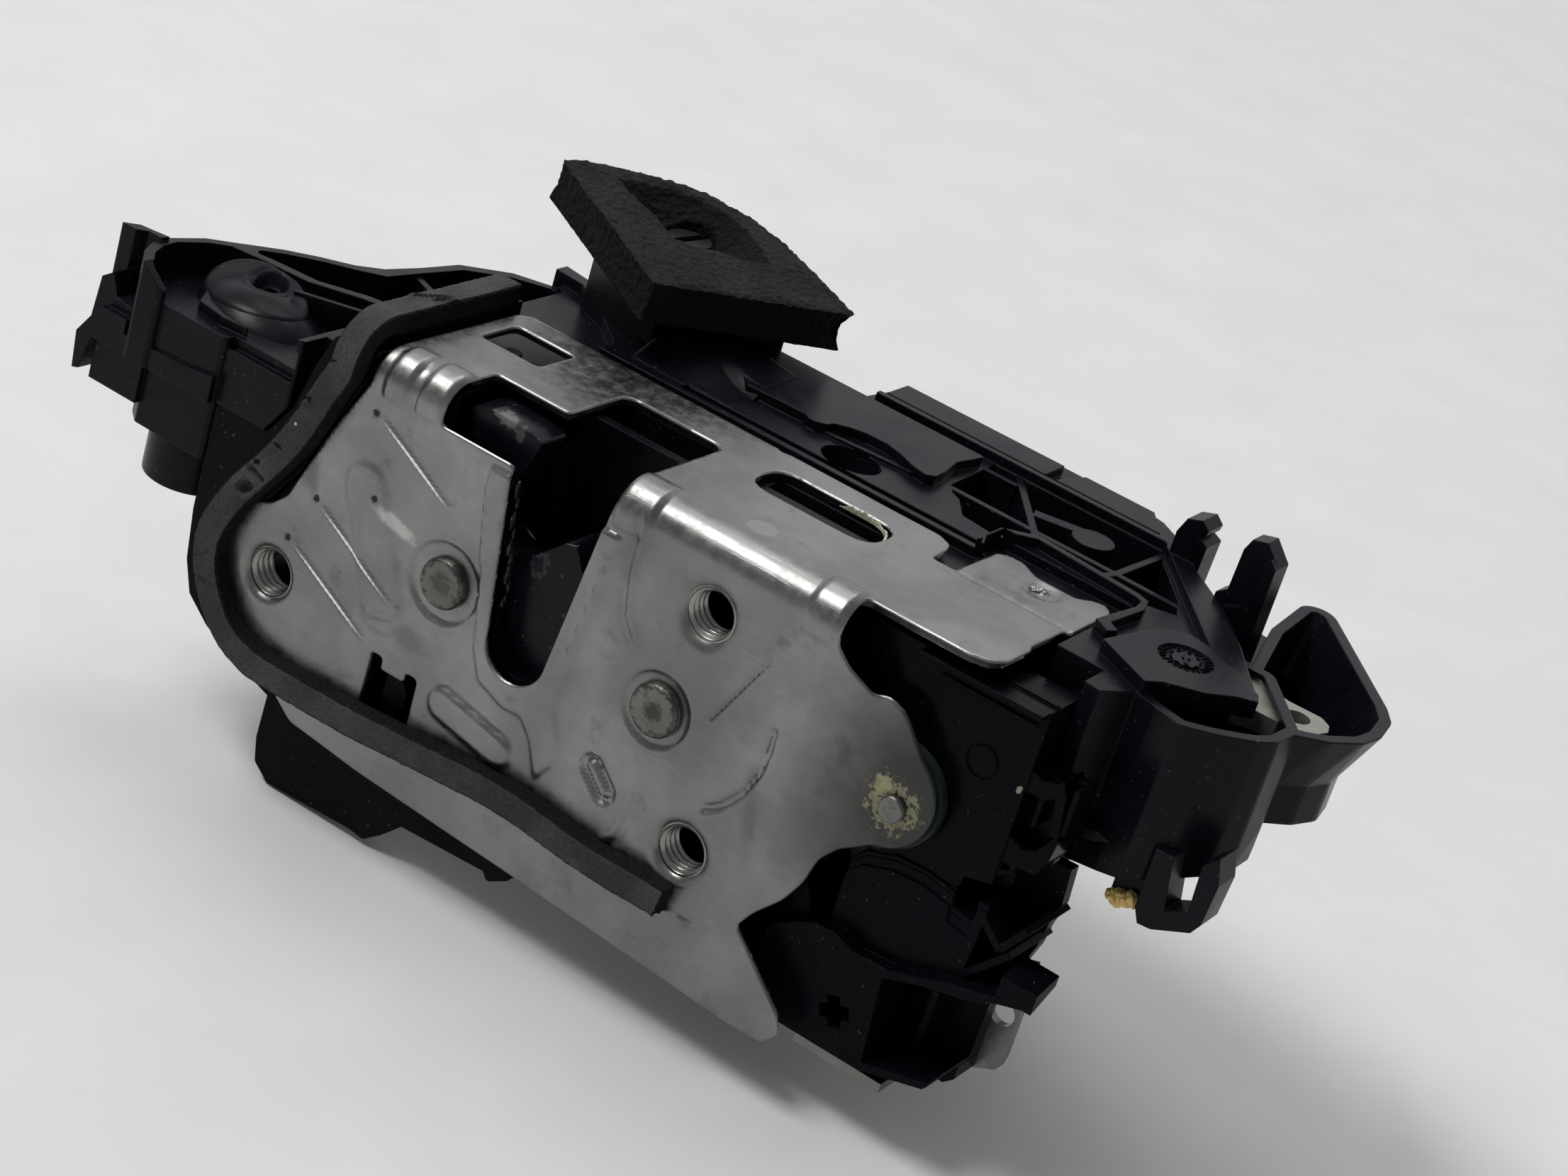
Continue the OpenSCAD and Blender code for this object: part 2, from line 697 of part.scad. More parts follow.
// Outline of the upper shell between the dish and the cable guard, in X and Y
module deck_outline() {
  polygon([
    [-50.6, 26.6], [-17.4, 26.6], [-17.4, housing_y], [20.4, housing_y], [20.4, 30], [43, 30],
    [43, 21], [50.9, 21], [50.9, 15], [53.6, 14.6], [57, 20], [60, 30], [66, 33.4], [60, 45.7],
    [52.1, 55.2], [46, 62], [38, 71.5], [34.6, 74.6], [31, 77.2], [26, back_d], [-18, back_d],
    [-20, 65.4], [-38, 65.4], [-46, 63], [-50.6, 57]
  ]);
}

// Outline of the lower shoulder between the dish and the deck, in X and Y
module shoulder_outline() {
  polygon([
    [-72, housing_y], [-52.6, housing_y], [-52.6, 26.6], [-38, 26.6], [-38, 66], [-40, 76],
    [-50, 79], [-60, 79], [-70, 72], [-76, 62]
  ]);
}

// Outline of the lower shell under the deck, in X and Y
module under_outline() {
  polygon([
    [-72, housing_y], [49, housing_y], [50, 50], [46, 60], [38, 70], [31, 76.6], [26, back_d - 0.6],
    [-18, back_d - 0.6], [-40, 77], [-58, 79], [-70, 71]
  ]);
}

// Outline of the dish at the left end, in X and Y
module dish_outline() {
  soften(1) polygon([
    [-66, 6.4], [-79.4, 6.4], [-79.4, 1], [-93, 1], [-93, 0.2], [-106, 0], [-106.4, -1.2],
    [-110.6, -1.4], [-113.6, 2.1], [-115.3, 5.8], [-115.5, 9.8], [-113.3, 15.8],
    [-110.4, 19.3], [-105.4, 25.6], [-101.2, 29.5], [-96.6, 33], [-93.6, 37], [-91.6, 44], [-90, 52], [-84, 59], [-76, 62.6], [-66, 64]
  ]);
}

// Floor of the dish in front of the inner wall
module dish_floor() {
  soften(1) polygon([
    [-80.5, -3], [-105.6, -3], [-106.2, 0.2], [-109.8, 0.2], [-112.2, 3], [-113.7, 6.4],
    [-113.9, 9.8], [-111.9, 14.8], [-109.4, 17.8], [-103.6, 18.9], [-94.7, 19.9], [-86.8, 23.8], [-80.5, 25.8]
  ]);
}

// Channel between the inner and the outer wall of the dish
module dish_channel() {
  soften(1) polygon([
    [-108.2, 19.4], [-103.3, 20.6], [-94.7, 21.6], [-87.2, 25.6], [-80, 27.6], [-74, 27.6],
    [-74, 60], [-77, 60.6], [-83, 57.2], [-88.2, 51], [-89.8, 43.5], [-91.4, 35],
    [-95.4, 31.6], [-99.6, 28.6], [-104, 24.6]
  ]);
}

// Ribbed pocket of the deck, in X and Y
module pocket_outline() {
  polygon([[5.4, 63], [5.8, 52.4], [7.4, 50.2], [9.4, 49], [11, 46.8], [12.8, 44.4], [18.4, 43.6],
           [23, 47.4], [44, 46.8], [48.2, 48.6], [46.2, 53], [38, 63.4], [36.4, 67], [5.4, 67]]);
}

// Rails and diagonal ribs that cross the pocket
module pocket_ribs() {
  bar([4, 64], [11.4, 64], 1);
  bar([5, 51.7], [50, 51.7], 1.1);
  bar([9.4, 67.8], [26.4, 45], 1.2);
  bar([37, 68], [36, 51.6], 1.2);
  bar([36, 51.6], [33.6, 45], 1.2);
  translate([28, 59]) circle(3.4);
  bar([18, 57.6], [26, 60], 2.4);
}

// Raised fields of the deck, in X and Y
module upper_decks() {
  soften(0.5) polygon([
    [-49.6, 50.6], [-34, 50.6], [-29.5, 46.6], [-18.7, 47], [-17.6, 46.2], [-15.9, 46.2],
    [-14.6, 47.2], [-14.3, 48.6], [-12.1, 50.2], [-9.3, 51.2], [-6, 51.3], [-2.7, 50.2],
    [0.3, 48.6], [1.7, 48.2], [3.6, 47.8], [4.6, 49], [4.4, 52], [3.4, 57.2], [4.6, 64],
    [-38, 64], [-46, 62], [-51.4, 56]
  ]);
  translate([-18, 67.3]) square([55.6, 1.1]);
  translate([-17, 69]) square([30, 6.4]);
  polygon([[15, 69], [34, 69], [29.6, 75.4], [17, 75.4]]);
}

// Wall that frames the tab of the flange, in X and Y
module tab_frame() {
  polygon([
    [20.9, 33.4], [20.9, 43], [25, 46.2], [42.6, 44.4], [44.2, 43.6], [44.6, 41], [43.2, 31.2],
    [46.1, 29.3], [47, 31], [45, 32.4], [45.8, 41.4], [44.8, 44.8], [42.8, 45.6], [24.4, 47.4],
    [19.7, 43.6], [19.7, 33.4]
  ]);
}

// Platform that caps the lever pivot, and the band that ties it to the deck
module platform_outline() {
  polygon([
    [47.4, 25.5], [57.2, 19.8], [59, 22.4], [64.1, 25.6], [67.2, 29.3], [69.9, 31.2],
    [68.9, 33.3], [63.6, 36.4], [57.8, 39.9], [53.9, 40.6], [51.2, 38.9], [49.8, 35.6]
  ]);
}

module band_outline() {
  polygon([[36, 67], [46.5, 54], [57.4, 40.8], [66, 33.4], [69.2, 32.6], [60, 45.7],
           [52.1, 55.2], [43.4, 63.1], [37.6, 71]]);
}

// First guard cup, in X and Y
module cup_1_outline() {
  soften(2) polygon([
    [54, 20.4], [57.4, 19.4], [60.5, 18.3], [65.3, 17.1], [69.6, 20], [74.2, 24.2],
    [76, 27.2], [76.4, 33], [66, 46], [54, 46]
  ]);
}

// Second guard cup, in X and Y
module cup_2_outline() {
  soften(3) polygon([
    [66, 31.3], [76, 31.3], [80.4, 35], [83.6, 39.9], [84.3, 44.4], [83.3, 50.3], [80.8, 54.2],
    [63.1, 74.5], [59.3, 77.6], [57.4, 75.6], [58.6, 60], [62, 52]
  ]);
}

module cup_2_foot() {
  soften(3) polygon([
    [66, 33], [74.8, 34], [78.4, 38.6], [80.2, 43.6], [79.2, 49.6], [76.6, 54], [60.5, 72.6],
    [57.4, 73.6], [58.6, 60], [62, 52]
  ]);
}

// Walls, floors and ledges round the cable lever
module cable_guard() {
  difference() {
    face_slab(10, 36) polygon([[53, 12], [77.4, 12], [76, -9.4], [63.7, -13.8], [51, -17.6]]);
    top_slab(-20, 40) difference() {
      translate([40, 0]) square([60, 60]);
      cup_1_outline();
    }
    top_slab(-7, 40) offset(delta = -wall) cup_1_outline();
    top_slab(-30, 18) offset(delta = -wall) cup_1_outline();
  }
  difference() {
    hull() {
      top_slab(deck_z - 0.2, 0.2) cup_2_outline();
      top_slab(2.4, 0.2) cup_2_foot();
    }
    hull() {
      top_slab(deck_z, 0.2) offset(delta = -wall) cup_2_outline();
      top_slab(2.2, 0.2) offset(delta = -wall) cup_2_foot();
    }
    span([55, 20, 0], [66, 46, 20]);
    span([58, 29, -20], [74.6, 42, 20]);
    translate([52, 84, 1]) rotate([0, 0, -50]) translate([0, -8, 0]) rotate([0, -38, 0])
      translate([-20, -14, 0]) cube([20, 30, 30]);
  }
  difference() {
    top_slab(-4, 6.4) cup_2_foot();
    top_slab(-4 + wall, 20) offset(delta = -wall) cup_2_foot();
    span([58, 29, -20], [74.6, 42, 20]);
  }
}

// Clip with an open slot on the front of the first cup
module side_clip() {
  face_slab(18, 5.4) polygon([
    [67.9, -6.9], [70.8, -6.7], [71.4, -10.6], [72.2, -14.8], [75.4, -13.2], [75.2, -9.4],
    [75, -5.6], [77, -3.4], [78.2, -7.4], [77.8, -14], [76.8, -15.8], [71.2, -18.4],
    [69.1, -18.6], [68, -16.4]
  ]);
  span([63, 20.4, -17.6], [68.4, 24, -12]);
}

// Two clips for the cable on the right flank
module cable_clips() {
  face_slab(64.4, 5) polygon([
    [38, 9], [38, 17.2], [39, 19.8], [41.4, 20.6], [42.8, 19.4], [42.6, 18.4],
    [41.4, 18], [43.4, 17], [43.2, 9]
  ]);
  face_slab(57, 3.6) polygon([
    [49.6, 4], [49.6, 14.6], [51.2, 15.8], [51.4, 22.6], [52.2, 24.6], [54.6, 25.2],
    [57.4, 22.2], [57.4, 4]
  ]);
  face_slab(56, 1.2) polygon([
    [51.6, 13.4], [54.2, 14.6], [55.4, 18.4], [55.4, 22.4], [56.2, 23.4], [57.4, 22.2],
    [57.4, 10], [51.6, 10]
  ]);
}

// Square prism in line with the pad
module tower_prism(w, z0) {
  translate([pad_at[0], pad_at[1], z0]) rotate([0, 0, pad_yaw])
    translate([-w / 2, -w / 2, 0]) cube([w, w, pad_at[2] - z0]);
}

// Frame of the tilted pad, with its centre at the pad centre
module pad_frame() {
  translate(pad_at) rotate([0, 0, pad_yaw]) rotate([pad_tilt, 0, 0]) rotate([0, pad_lean, 0])
    children();
}

// Curved fin that runs from the dish wall to the flange, in X and Y
module fin_outline() {
  polygon([[-78, 62], [-72, 61.4], [-63.4, 55], [-55.6, 48], [-52.6, 42], [-51.6, 35.4],
           [-49.6, 35.4], [-50.4, 43.4], [-54.4, 50.4], [-62.6, 57.6], [-70.6, 63.6], [-78, 65]]);
}

// Places the lever sweeps, in X and Y
module lever_sweep() {
  for (turn = [0:6:lever_swing])
    translate(lever_at) rotate(turn) translate(-lever_at) lever_outline();
}

module lever_outline() {
  soften(0.8) polygon([
    [55, 31.2], [61.4, 32.2], [68.5, 35.6], [73.8, 35.9], [77.2, 38.2], [78, 40.5],
    [77.2, 42.6], [75.4, 43.9], [70, 43.7], [64.6, 45.4], [60, 45.8], [54, 45], [49.4, 38]
  ]);
}

module shell_solid() {
  top_slab(joint_z, deck_z - joint_z) deck_outline();
  top_slab(joint_z, shoulder_z - joint_z) shoulder_outline();
  top_slab(0, shoulder_z + 2) fin_outline();
  top_slab(deck_z - 1, upper_z - deck_z + 1) {
    upper_decks();
    band_outline();
    tab_frame();
  }
  top_slab(11.2, 2.8) platform_outline();
  top_slab(joint_z, dish_wall_z - joint_z) dish_outline();
  cable_guard();
  side_clip();
  cable_clips();
  top_slab(-4, 9) polygon([[46, 60], [56, 55], [60, 60], [58, 72], [46, 74]]);
  top_slab(-4, 4) polygon([[50, 56], [58, 50], [66, 58], [60, 70], [50, 70]]);
  for (at = shell_posts) y_rod(at, 4, back_y + plate_t, housing_y + 1);
}

// Hollow of the upper shell, open towards the joint, with the posts left standing
module shell_hollow() {
  difference() {
    union() {
      top_slab(joint_z - 1, 1.6 - joint_z + 1) {
        offset(delta = -wall) deck_outline();
        offset(delta = -wall) shoulder_outline();
        translate([-53, housing_y + 5.6]) square([8, 30]);
      }
      top_slab(1.5, 4) difference() {
        union() {
          offset(delta = -wall) deck_outline();
          offset(delta = -wall) shoulder_outline();
        }
        offset(delta = wall) pocket_outline();
      }
      top_slab(5.4, deck_z - wall - 5.4) difference() {
        offset(delta = -wall) deck_outline();
        translate([-60, 20]) square([120, 20.6]);
        offset(delta = wall) pocket_outline();
        offset(delta = wall) lever_sweep();
      }
    }
    z_rod(lever_at, 9, joint_z - 2, deck_z);
    z_rod(recess_at, 6.4, 1.4, deck_z);
    for (at = shell_screws) z_rod(at, 3.6, joint_z - 2, deck_z);
  }
}

module main_housing() {
  color("#1b1c1f") {
    difference() {
      shell_solid();
      shell_hollow();
      for (at = shell_screws) z_rod(at, 1.5, joint_z - 1, 4);
      for (at = shell_posts) y_rod(at, 1.7, 10, 40);
      top_slab(deck_z - 8, 20) pocket_outline();
      span([-36, 37.6, deck_z - 3.4], [20.6, 39.2, deck_z + 4]);
      span([-66, housing_y - 1, deck_z - 1.6], [20.6, 36.4, deck_z + 4]);
      span([20, 20, deck_z - 1.6], [43, 44, deck_z + 4]);
      span([-9.6, 24.6, 7.2], [10, 28.6, deck_z]);
      translate([recess_at[0], recess_at[1], deck_z + 0.4]) scale([5, 4.2, 8]) sphere(1);
      z_rod([-43, 57.5], 2.4, deck_z - 3, 30);
      z_rod([57.3, 32.7], 4.2, 13.6, 20);
      top_slab(dish_z, 30) dish_floor();
      span([-93, 0, -1.2], [-80, 2.4, 4]);
      face_slab(-3, 3.6) polygon([[-110.8, 6.2], [-105, 1.8], [-105, 9], [-110.8, 9]]);
      top_slab(-1.4, 30) dish_channel();
      top_slab(joint_z - 1, dish_z - wall - joint_z) offset(delta = -wall) dish_outline();
      top_slab(lever_z - fit, 11.2 - lever_z + fit) offset(delta = 0.5) lever_sweep();
      z_rod(lever_at, 6.4, 3, lever_z);
      z_rod(lever_at, 3, -1, pin_top + 0.2);
      tower_prism(24, -1);
      face_slab(0, 6.2) offset(delta = fit) rim_outline();
      span([-72, 0, 9], [-65, 37, 20]);
    }
    top_slab(deck_z - 8.2, 8.2) intersection() {
      pocket_ribs();
      offset(delta = 0.4) pocket_outline();
    }
    dish_details();
    top_slab(deck_z - 0.2, 0.8) bar([-14.4, 46.9], [0.8, 48.6], 0.8);
    face_slab(16.6, 4) polygon([
      [55.5, -9.2], [59.6, -8.3], [62.1, -8.8], [58.8, -10.2], [55.6, -10.6]
    ]);
    difference() {
      tower_prism(24, -2);
      tower_prism(24 - 2 * wall, 0);
      pad_frame() translate([-40, -40, -pad_t / 2]) cube([80, 80, 40]);
      z_rod(key_at, 3.8 + run_gap, -5, 10);
    }
    z_rod([57.3, 32.7], 2.3, 11.3, 13.9);
    for (at = [[-58.6, 25.4], [-54, 24.4]]) z_rod(at, 1.4, shoulder_z - 0.2, 9.6);
  }
}

// Dome, ribs, blocks and hooks of the left end
module dish_details() {
  difference() {
    union() {
      intersection() {
        translate([-97, 12.2, -3.5]) scale([13, 9, 8]) sphere(1);
        span([-112, 1, -1], [-82, 22, 6]);
      }
      z_rod([-98.8, 15.2], 4, 0, 4.4);
    }
    z_rod([-98.8, 15.2], 2.8, 2, 6);
    z_rod([-98.8, 15.2], 1.6, -4, 6);
  }
  top_slab(dish_z - 0.2, 1.8) polygon([
    [-105, 8.4], [-101.5, 5.6], [-97, 3.8], [-92, 3.6], [-97, 2.9], [-102.4, 3.8]
  ]);
  top_slab(-1.6, dish_wall_z + 1) intersection() {
    offset(delta = 0.4) dish_channel();
    union() {
      bar([-93, 43], [-81, 37.2], 1.2);
      bar([-81, 37.2], [-72, 34], 1.2);
    }
  }
  top_slab(dish_z - 0.2, dish_wall_z - 1) bar([-94.6, 16.4], [-80, 23.6], 1);
  face_slab(-0.6, 3) polygon([
    [-115.7, -7.4], [-99.5, -6.8], [-93.4, -6], [-93.4, joint_z], [-115.7, joint_z]
  ]);
  top_slab(joint_z, 0.6 + dish_wall_z - joint_z) polygon([
    [-121.8, 5.6], [-119, 5.6], [-117.6, 7.2], [-115, 7.4], [-114.8, 8.9], [-120, 7.8]
  ]);
  face_slab(1, 6) polygon([
    [-120.6, joint_z], [-119.8, -1], [-117.6, 0.6], [-116, -3], [-110, -4], [-110, joint_z]
  ]);
  face_slab(-0.6, 4) polygon([
    [-112, -5], [-117.6, -5], [-121.4, -10.8], [-120.9, -17], [-119.6, -16.6],
    [-118.7, -12.4], [-118.2, joint_z], [-112, joint_z]
  ]);
}

// Round bosses of the cover that meet the shell screws
module cover_bosses(z0) {
  for (at = shell_screws) z_rod(at, 3.6, z0, joint_z);
}

module housing_cover() {
  color("#1b1c1f") {
    difference() {
      union() {
        difference() {
          top_slab(floor_z, joint_z - floor_z) under_outline();
          top_slab(floor_z + wall, 60) offset(delta = -wall) under_outline();
        }
        top_slab(-21, joint_z + 21) left_under_outline();
        top_slab(-17.6, joint_z + 17.6) translate([-118, 0.4]) square([10, 9]);
        z_rod([-101, 9.4], 8, -28.6, joint_z);
        cover_bosses(floor_z);
        socket_wall();
      }
      difference() {
        top_slab(-21 + wall, 30) offset(delta = -wall) left_under_outline();
        cover_bosses(-22);
      }
      difference() {
        top_slab(floor_z + wall, 60) translate([-75, 30]) square([6, 28]);
        cover_bosses(floor_z);
      }
      z_rod([-101, 9.4], 8 - wall, -28.6 + wall, joint_z + 1);
      for (at = shell_screws) z_rod(at, 1.7, -40, 0);
      for (at = [shell_screws[1], shell_screws[2]]) z_rod(at, 3, -40, floor_z + 1.2);
      z_rod(shell_screws[0], 3, -40, -19.8);
      top_slab(-40, 9.2) socket_outline();
      for (i = [0:pin_count - 1]) span([pin_x(i) - 0.1, pin_y - 0.6, -40],
        [pin_x(i) + 1.1, pin_y + 0.6, 0]);
      face_slab(0, 6.2) offset(delta = fit) rim_outline();
    }
    for (x = [motor_x + 4, motor_x + motor_l - 6]) difference() {
      span([x, motor_at[0] - 8, floor_z + 1], [x + 2, motor_at[0] + 8, motor_at[1] - 2]);
      x_rod(motor_at, motor_d / 2 + 0.02, x - 1, x + 3);
    }
  }
}

// Outline of the lower shell under the dish, in X and Y
module left_under_outline() {
  soften(1) polygon([
    [-71, 6.4], [-93.6, 6.4], [-93.6, 1.4], [-108, 1.4], [-111, 4], [-113, 9], [-109, 18],
    [-98, 30.4], [-93, 36], [-90, 52], [-78, 61], [-71, 61]
  ]);
}

// Mouth of the socket for the plug, in X and Y
module socket_outline() {
  soften(1) translate([-4, pin_y - 6.5]) square([28, 13]);
}

module socket_wall() {
  top_slab(-36, 11) offset(delta = 1.6) socket_outline();
}

function pin_x(i) = -1.6 + i * 4;

// Rim round the left and lower sides of the latch, in X and Z
module rim_outline() {
  soften(0.8) polygon([
    [-62, 4], [-66, 10.4], [-72.6, 10.4], [-74.6, 9], [-76.8, 3.6], [-79, -4.6], [-83, -10.9],
    [-93.4, -10.9], [-93.4, -29.4], [-92.5, -37.9], [-90.5, -43.2], [-85.9, -46.7],
    [-80.6, -49.1], [-71.4, -51.9], [-71.6, -59.6], [-70.8, -63.7], [-67.6, -66], [-50.6, -65],
    [-47.6, -65.3], [-44.6, -62.9], [-41.3, -59.5], [-25.2, -58.4], [-24.1, -59.7],
    [-20.6, -57.6], [-18, -53], [-50, -51], [-60, -46], [-66, -36]
  ]);
}

// Shelf that carries the seal over the bend and along the flange, in Y and Z
module shelf_section(r) {
  intersection() {
    translate([shelf_r, 8]) circle(r);
    translate([-20, 8]) square([20 + shelf_r, 20]);
  }
}

module seal_shelf() {
  translate([-71.8, 0, 0]) rotate([90, 0, 90]) linear_extrude(5.6) {
    difference() {
      shelf_section(shelf_r);
      shelf_section(shelf_r - 2.8);
    }
    translate([shelf_r, 8 + shelf_r - 2.8]) square([31.4, 2.8]);
    translate([0, 5.6]) square([2.8, 2.4]);
  }
}

// Raised seat of the seal on the rim
module seal_seat() {
  face_slab(0, 2) difference() {
    intersection() {
      seal_run(seal_left, seal_w + 1.6);
      rim_outline();
    }
    offset(delta = 0.3) face_outline();
  }
}

module seal_strip() {
  color("#4a4a4a") {
    top_slab(8 + shelf_r, seal_t) bar([-68.8, shelf_r], [-68.8, 35.6], seal_w);
    translate([-68.8 - seal_w / 2, 0, 0]) rotate([90, 0, 90]) linear_extrude(seal_w) difference() {
      shelf_section(shelf_r + seal_t);
      shelf_section(shelf_r);
    }
    face_slab(-seal_t, seal_t) intersection() {
      union() {
        seal_run(seal_left, seal_w);
        seal_run(seal_low, seal_w);
        translate([-68.8 - seal_w / 2, 4]) square([seal_w, 4]);
      }
      translate([-100, -60]) square([120, 68]);
    }
  }
}

// Band along a run of places, with round ends
module seal_run(path, w) {
  offset(r = w / 2, $fn = 24) for (i = [1:len(path) - 1]) bar(path[i - 1], path[i], 0.02);
}

module foam_pad() {
  color("#1d1d1f") pad_frame() difference() {
    translate([0, 0, -pad_t / 2]) linear_extrude(pad_t) soften(0.8) scale(pad_w / 37.6) polygon([
      [-18.8, -18.8], [18.8, -18.8], [18.8, 18.8], [8, 17.9], [-2.8, 16.6], [-11, 14],
      [-16.6, 8.6], [-18.8, -6]
    ]);
    translate([-6, 0, -pad_t / 2 + 2.2]) rotate([0, 0, 45])
      cylinder(r1 = 7.4, r2 = 13, h = pad_t, $fn = 4);
    translate([-6, 1, -pad_t]) cylinder(r = 4.6, h = 2 * pad_t);
  }
}

module key_hub() {
  color("#151517") difference() {
    union() {
      z_rod(key_at, 6, -4.4, -2.2);
      z_rod(key_at, 3.8, -2.4, 23);
    }
    translate([key_at[0], key_at[1], 22]) rotate([0, 0, pad_yaw + 20])
      cube([1.6, 9, 6], center = true);
  }
}

module pull_lever() {
  color("#8d8c86") difference() {
    union() {
      top_slab(lever_z, lever_t) lever_outline();
      z_rod(lever_at, 4.4, lever_z - 0.2, lever_z + lever_t + 0.3);
    }
    z_rod(lever_at, 3 + run_gap, 0, 20);
    z_rod([73.1, 40.2], eye_d / 2, 0, 20);
  }
}

module pull_lever_pin() {
  color("#8f9190") z_rod(lever_at, 3, -1, pin_top);
}

module pull_lever_spring() {
  color("#6d6f72") {
    for (i = [0:2]) translate([lever_at[0], lever_at[1], 3.7 + i * 1.1]) rotate_extrude()
      translate([4.6, 0]) circle(0.52, $fn = 16);
    span([lever_at[0] - 4.9, lever_at[1] - 0.4, 3.7], [lever_at[0] - 4.3, lever_at[1] + 0.4, 5.8]);
  }
}

module motor() {
  color("#77797c") {
    difference() {
      x_rod(motor_at, motor_d / 2, motor_x, motor_x + motor_l);
      for (side = [-1, 1])
        span([motor_x - 1, motor_at[0] + side * 12 - 4, -30],
             [motor_x + motor_l + 1, motor_at[0] + side * 12 + 4, 30]);
      x_rod(motor_at, 1.1, motor_x + motor_l - 8, motor_x + motor_l + 3);
    }
    difference() {
      x_rod(motor_at, 4, motor_x + motor_l, motor_x + motor_l + 1.6);
      x_rod(motor_at, 1.1, motor_x + motor_l - 8, motor_x + motor_l + 3);
    }
    for (y = [-4, 3]) span([motor_x - 3, motor_at[0] + y, motor_at[1] - 8],
                           [motor_x, motor_at[0] + y + 1, motor_at[1] - 4]);
  }
}

module motor_worm() {
  color("#c9b26a") {
    x_rod(motor_at, 1.1 - run_gap, motor_x + motor_l - 7, worm_x - 7);
    x_rod(motor_at, 2.6, worm_x - 7.6, worm_x + 8);
    for (i = [0:5]) x_rod(motor_at, 3.4, worm_x + i * 2.4 - 6.8, worm_x + i * 2.4 - 5.6);
  }
}

// Spur gear blank with straight-sided teeth, from height z over thickness t
module spur(r_root, r_tip, teeth, z, t) {
  top_slab(z, t) {
    circle(r_root);
    for (i = [0:teeth - 1]) rotate(i * 360 / teeth) polygon([
      [r_root - 0.3, -1.5 * r_root / teeth], [r_tip, -0.9 * r_root / teeth],
      [r_tip, 0.9 * r_root / teeth], [r_root - 0.3, 1.5 * r_root / teeth]
    ]);
  }
}

module worm_wheel() {
  color("#d8d4c8") translate([wheel_at[0], wheel_at[1], 0]) difference() {
    union() {
      spur(wheel_d / 2 - 1.6, wheel_d / 2, wheel_teeth, wheel_z, 5);
      spur(pinion_r - 0.6, pinion_r + 0.6, 12, wheel_z + 4.9, -wheel_z - 4.4);
    }
    cylinder(r = 2 + run_gap, h = 60, center = true);
    for (i = [0:4]) rotate(i * 72 + 20) translate([7.6, 0, wheel_z - 1]) cylinder(r = 1.8, h = 7);
  }
}

module wheel_axle() {
  color("#8f9190") {
    z_rod(wheel_at, 2, floor_z + wall, 2.2);
    z_rod(wheel_at, 3.4, floor_z + wall, wheel_z - 0.2);
  }
}

module lock_slide() {
  color("#d8d4c8") {
    difference() {
      top_slab(-3.2, 2.8) {
        translate([-41, 29.6]) square([47, rack_y - 29.6]);
        for (i = [-7:0]) translate([wheel_at[0] + (i + 0.5) * rack_pitch, rack_y - 0.1])
          polygon([[-0.6, 0], [-0.3, 1.3], [0.3, 1.3], [0.6, 0]]);
      }
      span([-37, 31, -4], [-37 + slide_travel, 32.6, 0]);
    }
    span([1, 29.6, -3.2], [5, 33, 1.2]);
  }
}

module wiring_plate() {
  color("#202124") {
    difference() {
      span([-46, 28, -21], [36, 46, -19.4]);
      z_rod(wheel_at, 4, -30, 0);
      for (at = shell_screws) z_rod(at, 4, -30, 0);
    }
    span([-3, 45.9, -21], [25, pin_y + 3.5, -19.4]);
    for (at = [[-42, 32], [32, 31], [-36, 43], [32, 43], [22.4, pin_y + 0.5]])
      z_rod(at, 2, floor_z + wall, -20);
  }
}

module contact_strips() {
  color("#b0743a") {
    for (i = [0:pin_count - 1]) span([pin_x(i), 44, -19.4], [pin_x(i) + 1, pin_y + 0.5, -19]);
    for (i = [0:2]) span([-40, 33 + i * 4, -19.4], [-2, 34.4 + i * 4, -19]);
  }
}

module connector_pins() {
  color("#b0743a") for (i = [0:pin_count - 1])
    span([pin_x(i), pin_y - 0.5, -33.6], [pin_x(i) + 1, pin_y + 0.5, -21]);
}

module catch_switch() {
  color("#1a1a1a") difference() {
    union() {
      span([-36, 28.6, -11], [-24, 33, -5]);
      span([-36, 28.6, -19.4], [-33, 32, -10]);
    }
    y_rod([-30, -8], 1.05, 30, 40);
  }
}

module switch_button() {
  color("#b03a2e") y_rod([-30, -8], 1, 31, 34.2);
}

module housing_screws() {
  color("#8f9190") {
    z_rod(shell_screws[0], 1.5, -21.6, 2);
    z_rod(shell_screws[0], 2.8, -21.6, -19.8);
    for (at = [shell_screws[1], shell_screws[2]]) {
      z_rod(at, 1.5, floor_z - 0.6, 2);
      z_rod(at, 2.8, floor_z - 0.6, floor_z + 1.2);
    }
  }
}

module latch_screws() {
  color("#8f9190") {
    for (at = latch_posts) {
      y_rod(at, 1.6, 12, back_y + plate_t + 1);
      y_rod(at, 3, back_y + plate_t, back_y + plate_t + 1.2);
    }
    for (at = shell_posts) {
      y_rod(at, 1.6, 14, housing_y + wall + 0.4);
      y_rod(at, 3, housing_y + wall, housing_y + wall + 1.4);
    }
  }
}

module yellow_plug() {
  color("#d8a93a") difference() {
    translate([64.8, 22.2, -18.7]) scale([2.9, 2.1, 1.6]) sphere(1);
    span([60, 18, -17.6], [70, 26, -14]);
  }
}

latch_plate();
back_plate();
latch_housing();
striker_buffer();
catch();
catch_coating();
pawl();
pawl_coating();
catch_pivot();
pawl_pivot();
lobe_rivet();
release_lever();
catch_spring();
pawl_spring();
inner_cover();
main_housing();
housing_cover();
seal_strip();
foam_pad();
key_hub();
pull_lever();
pull_lever_pin();
pull_lever_spring();
motor();
motor_worm();
worm_wheel();
wheel_axle();
lock_slide();
wiring_plate();
contact_strips();
catch_switch();
switch_button();
connector_pins();
housing_screws();
latch_screws();
yellow_plug();
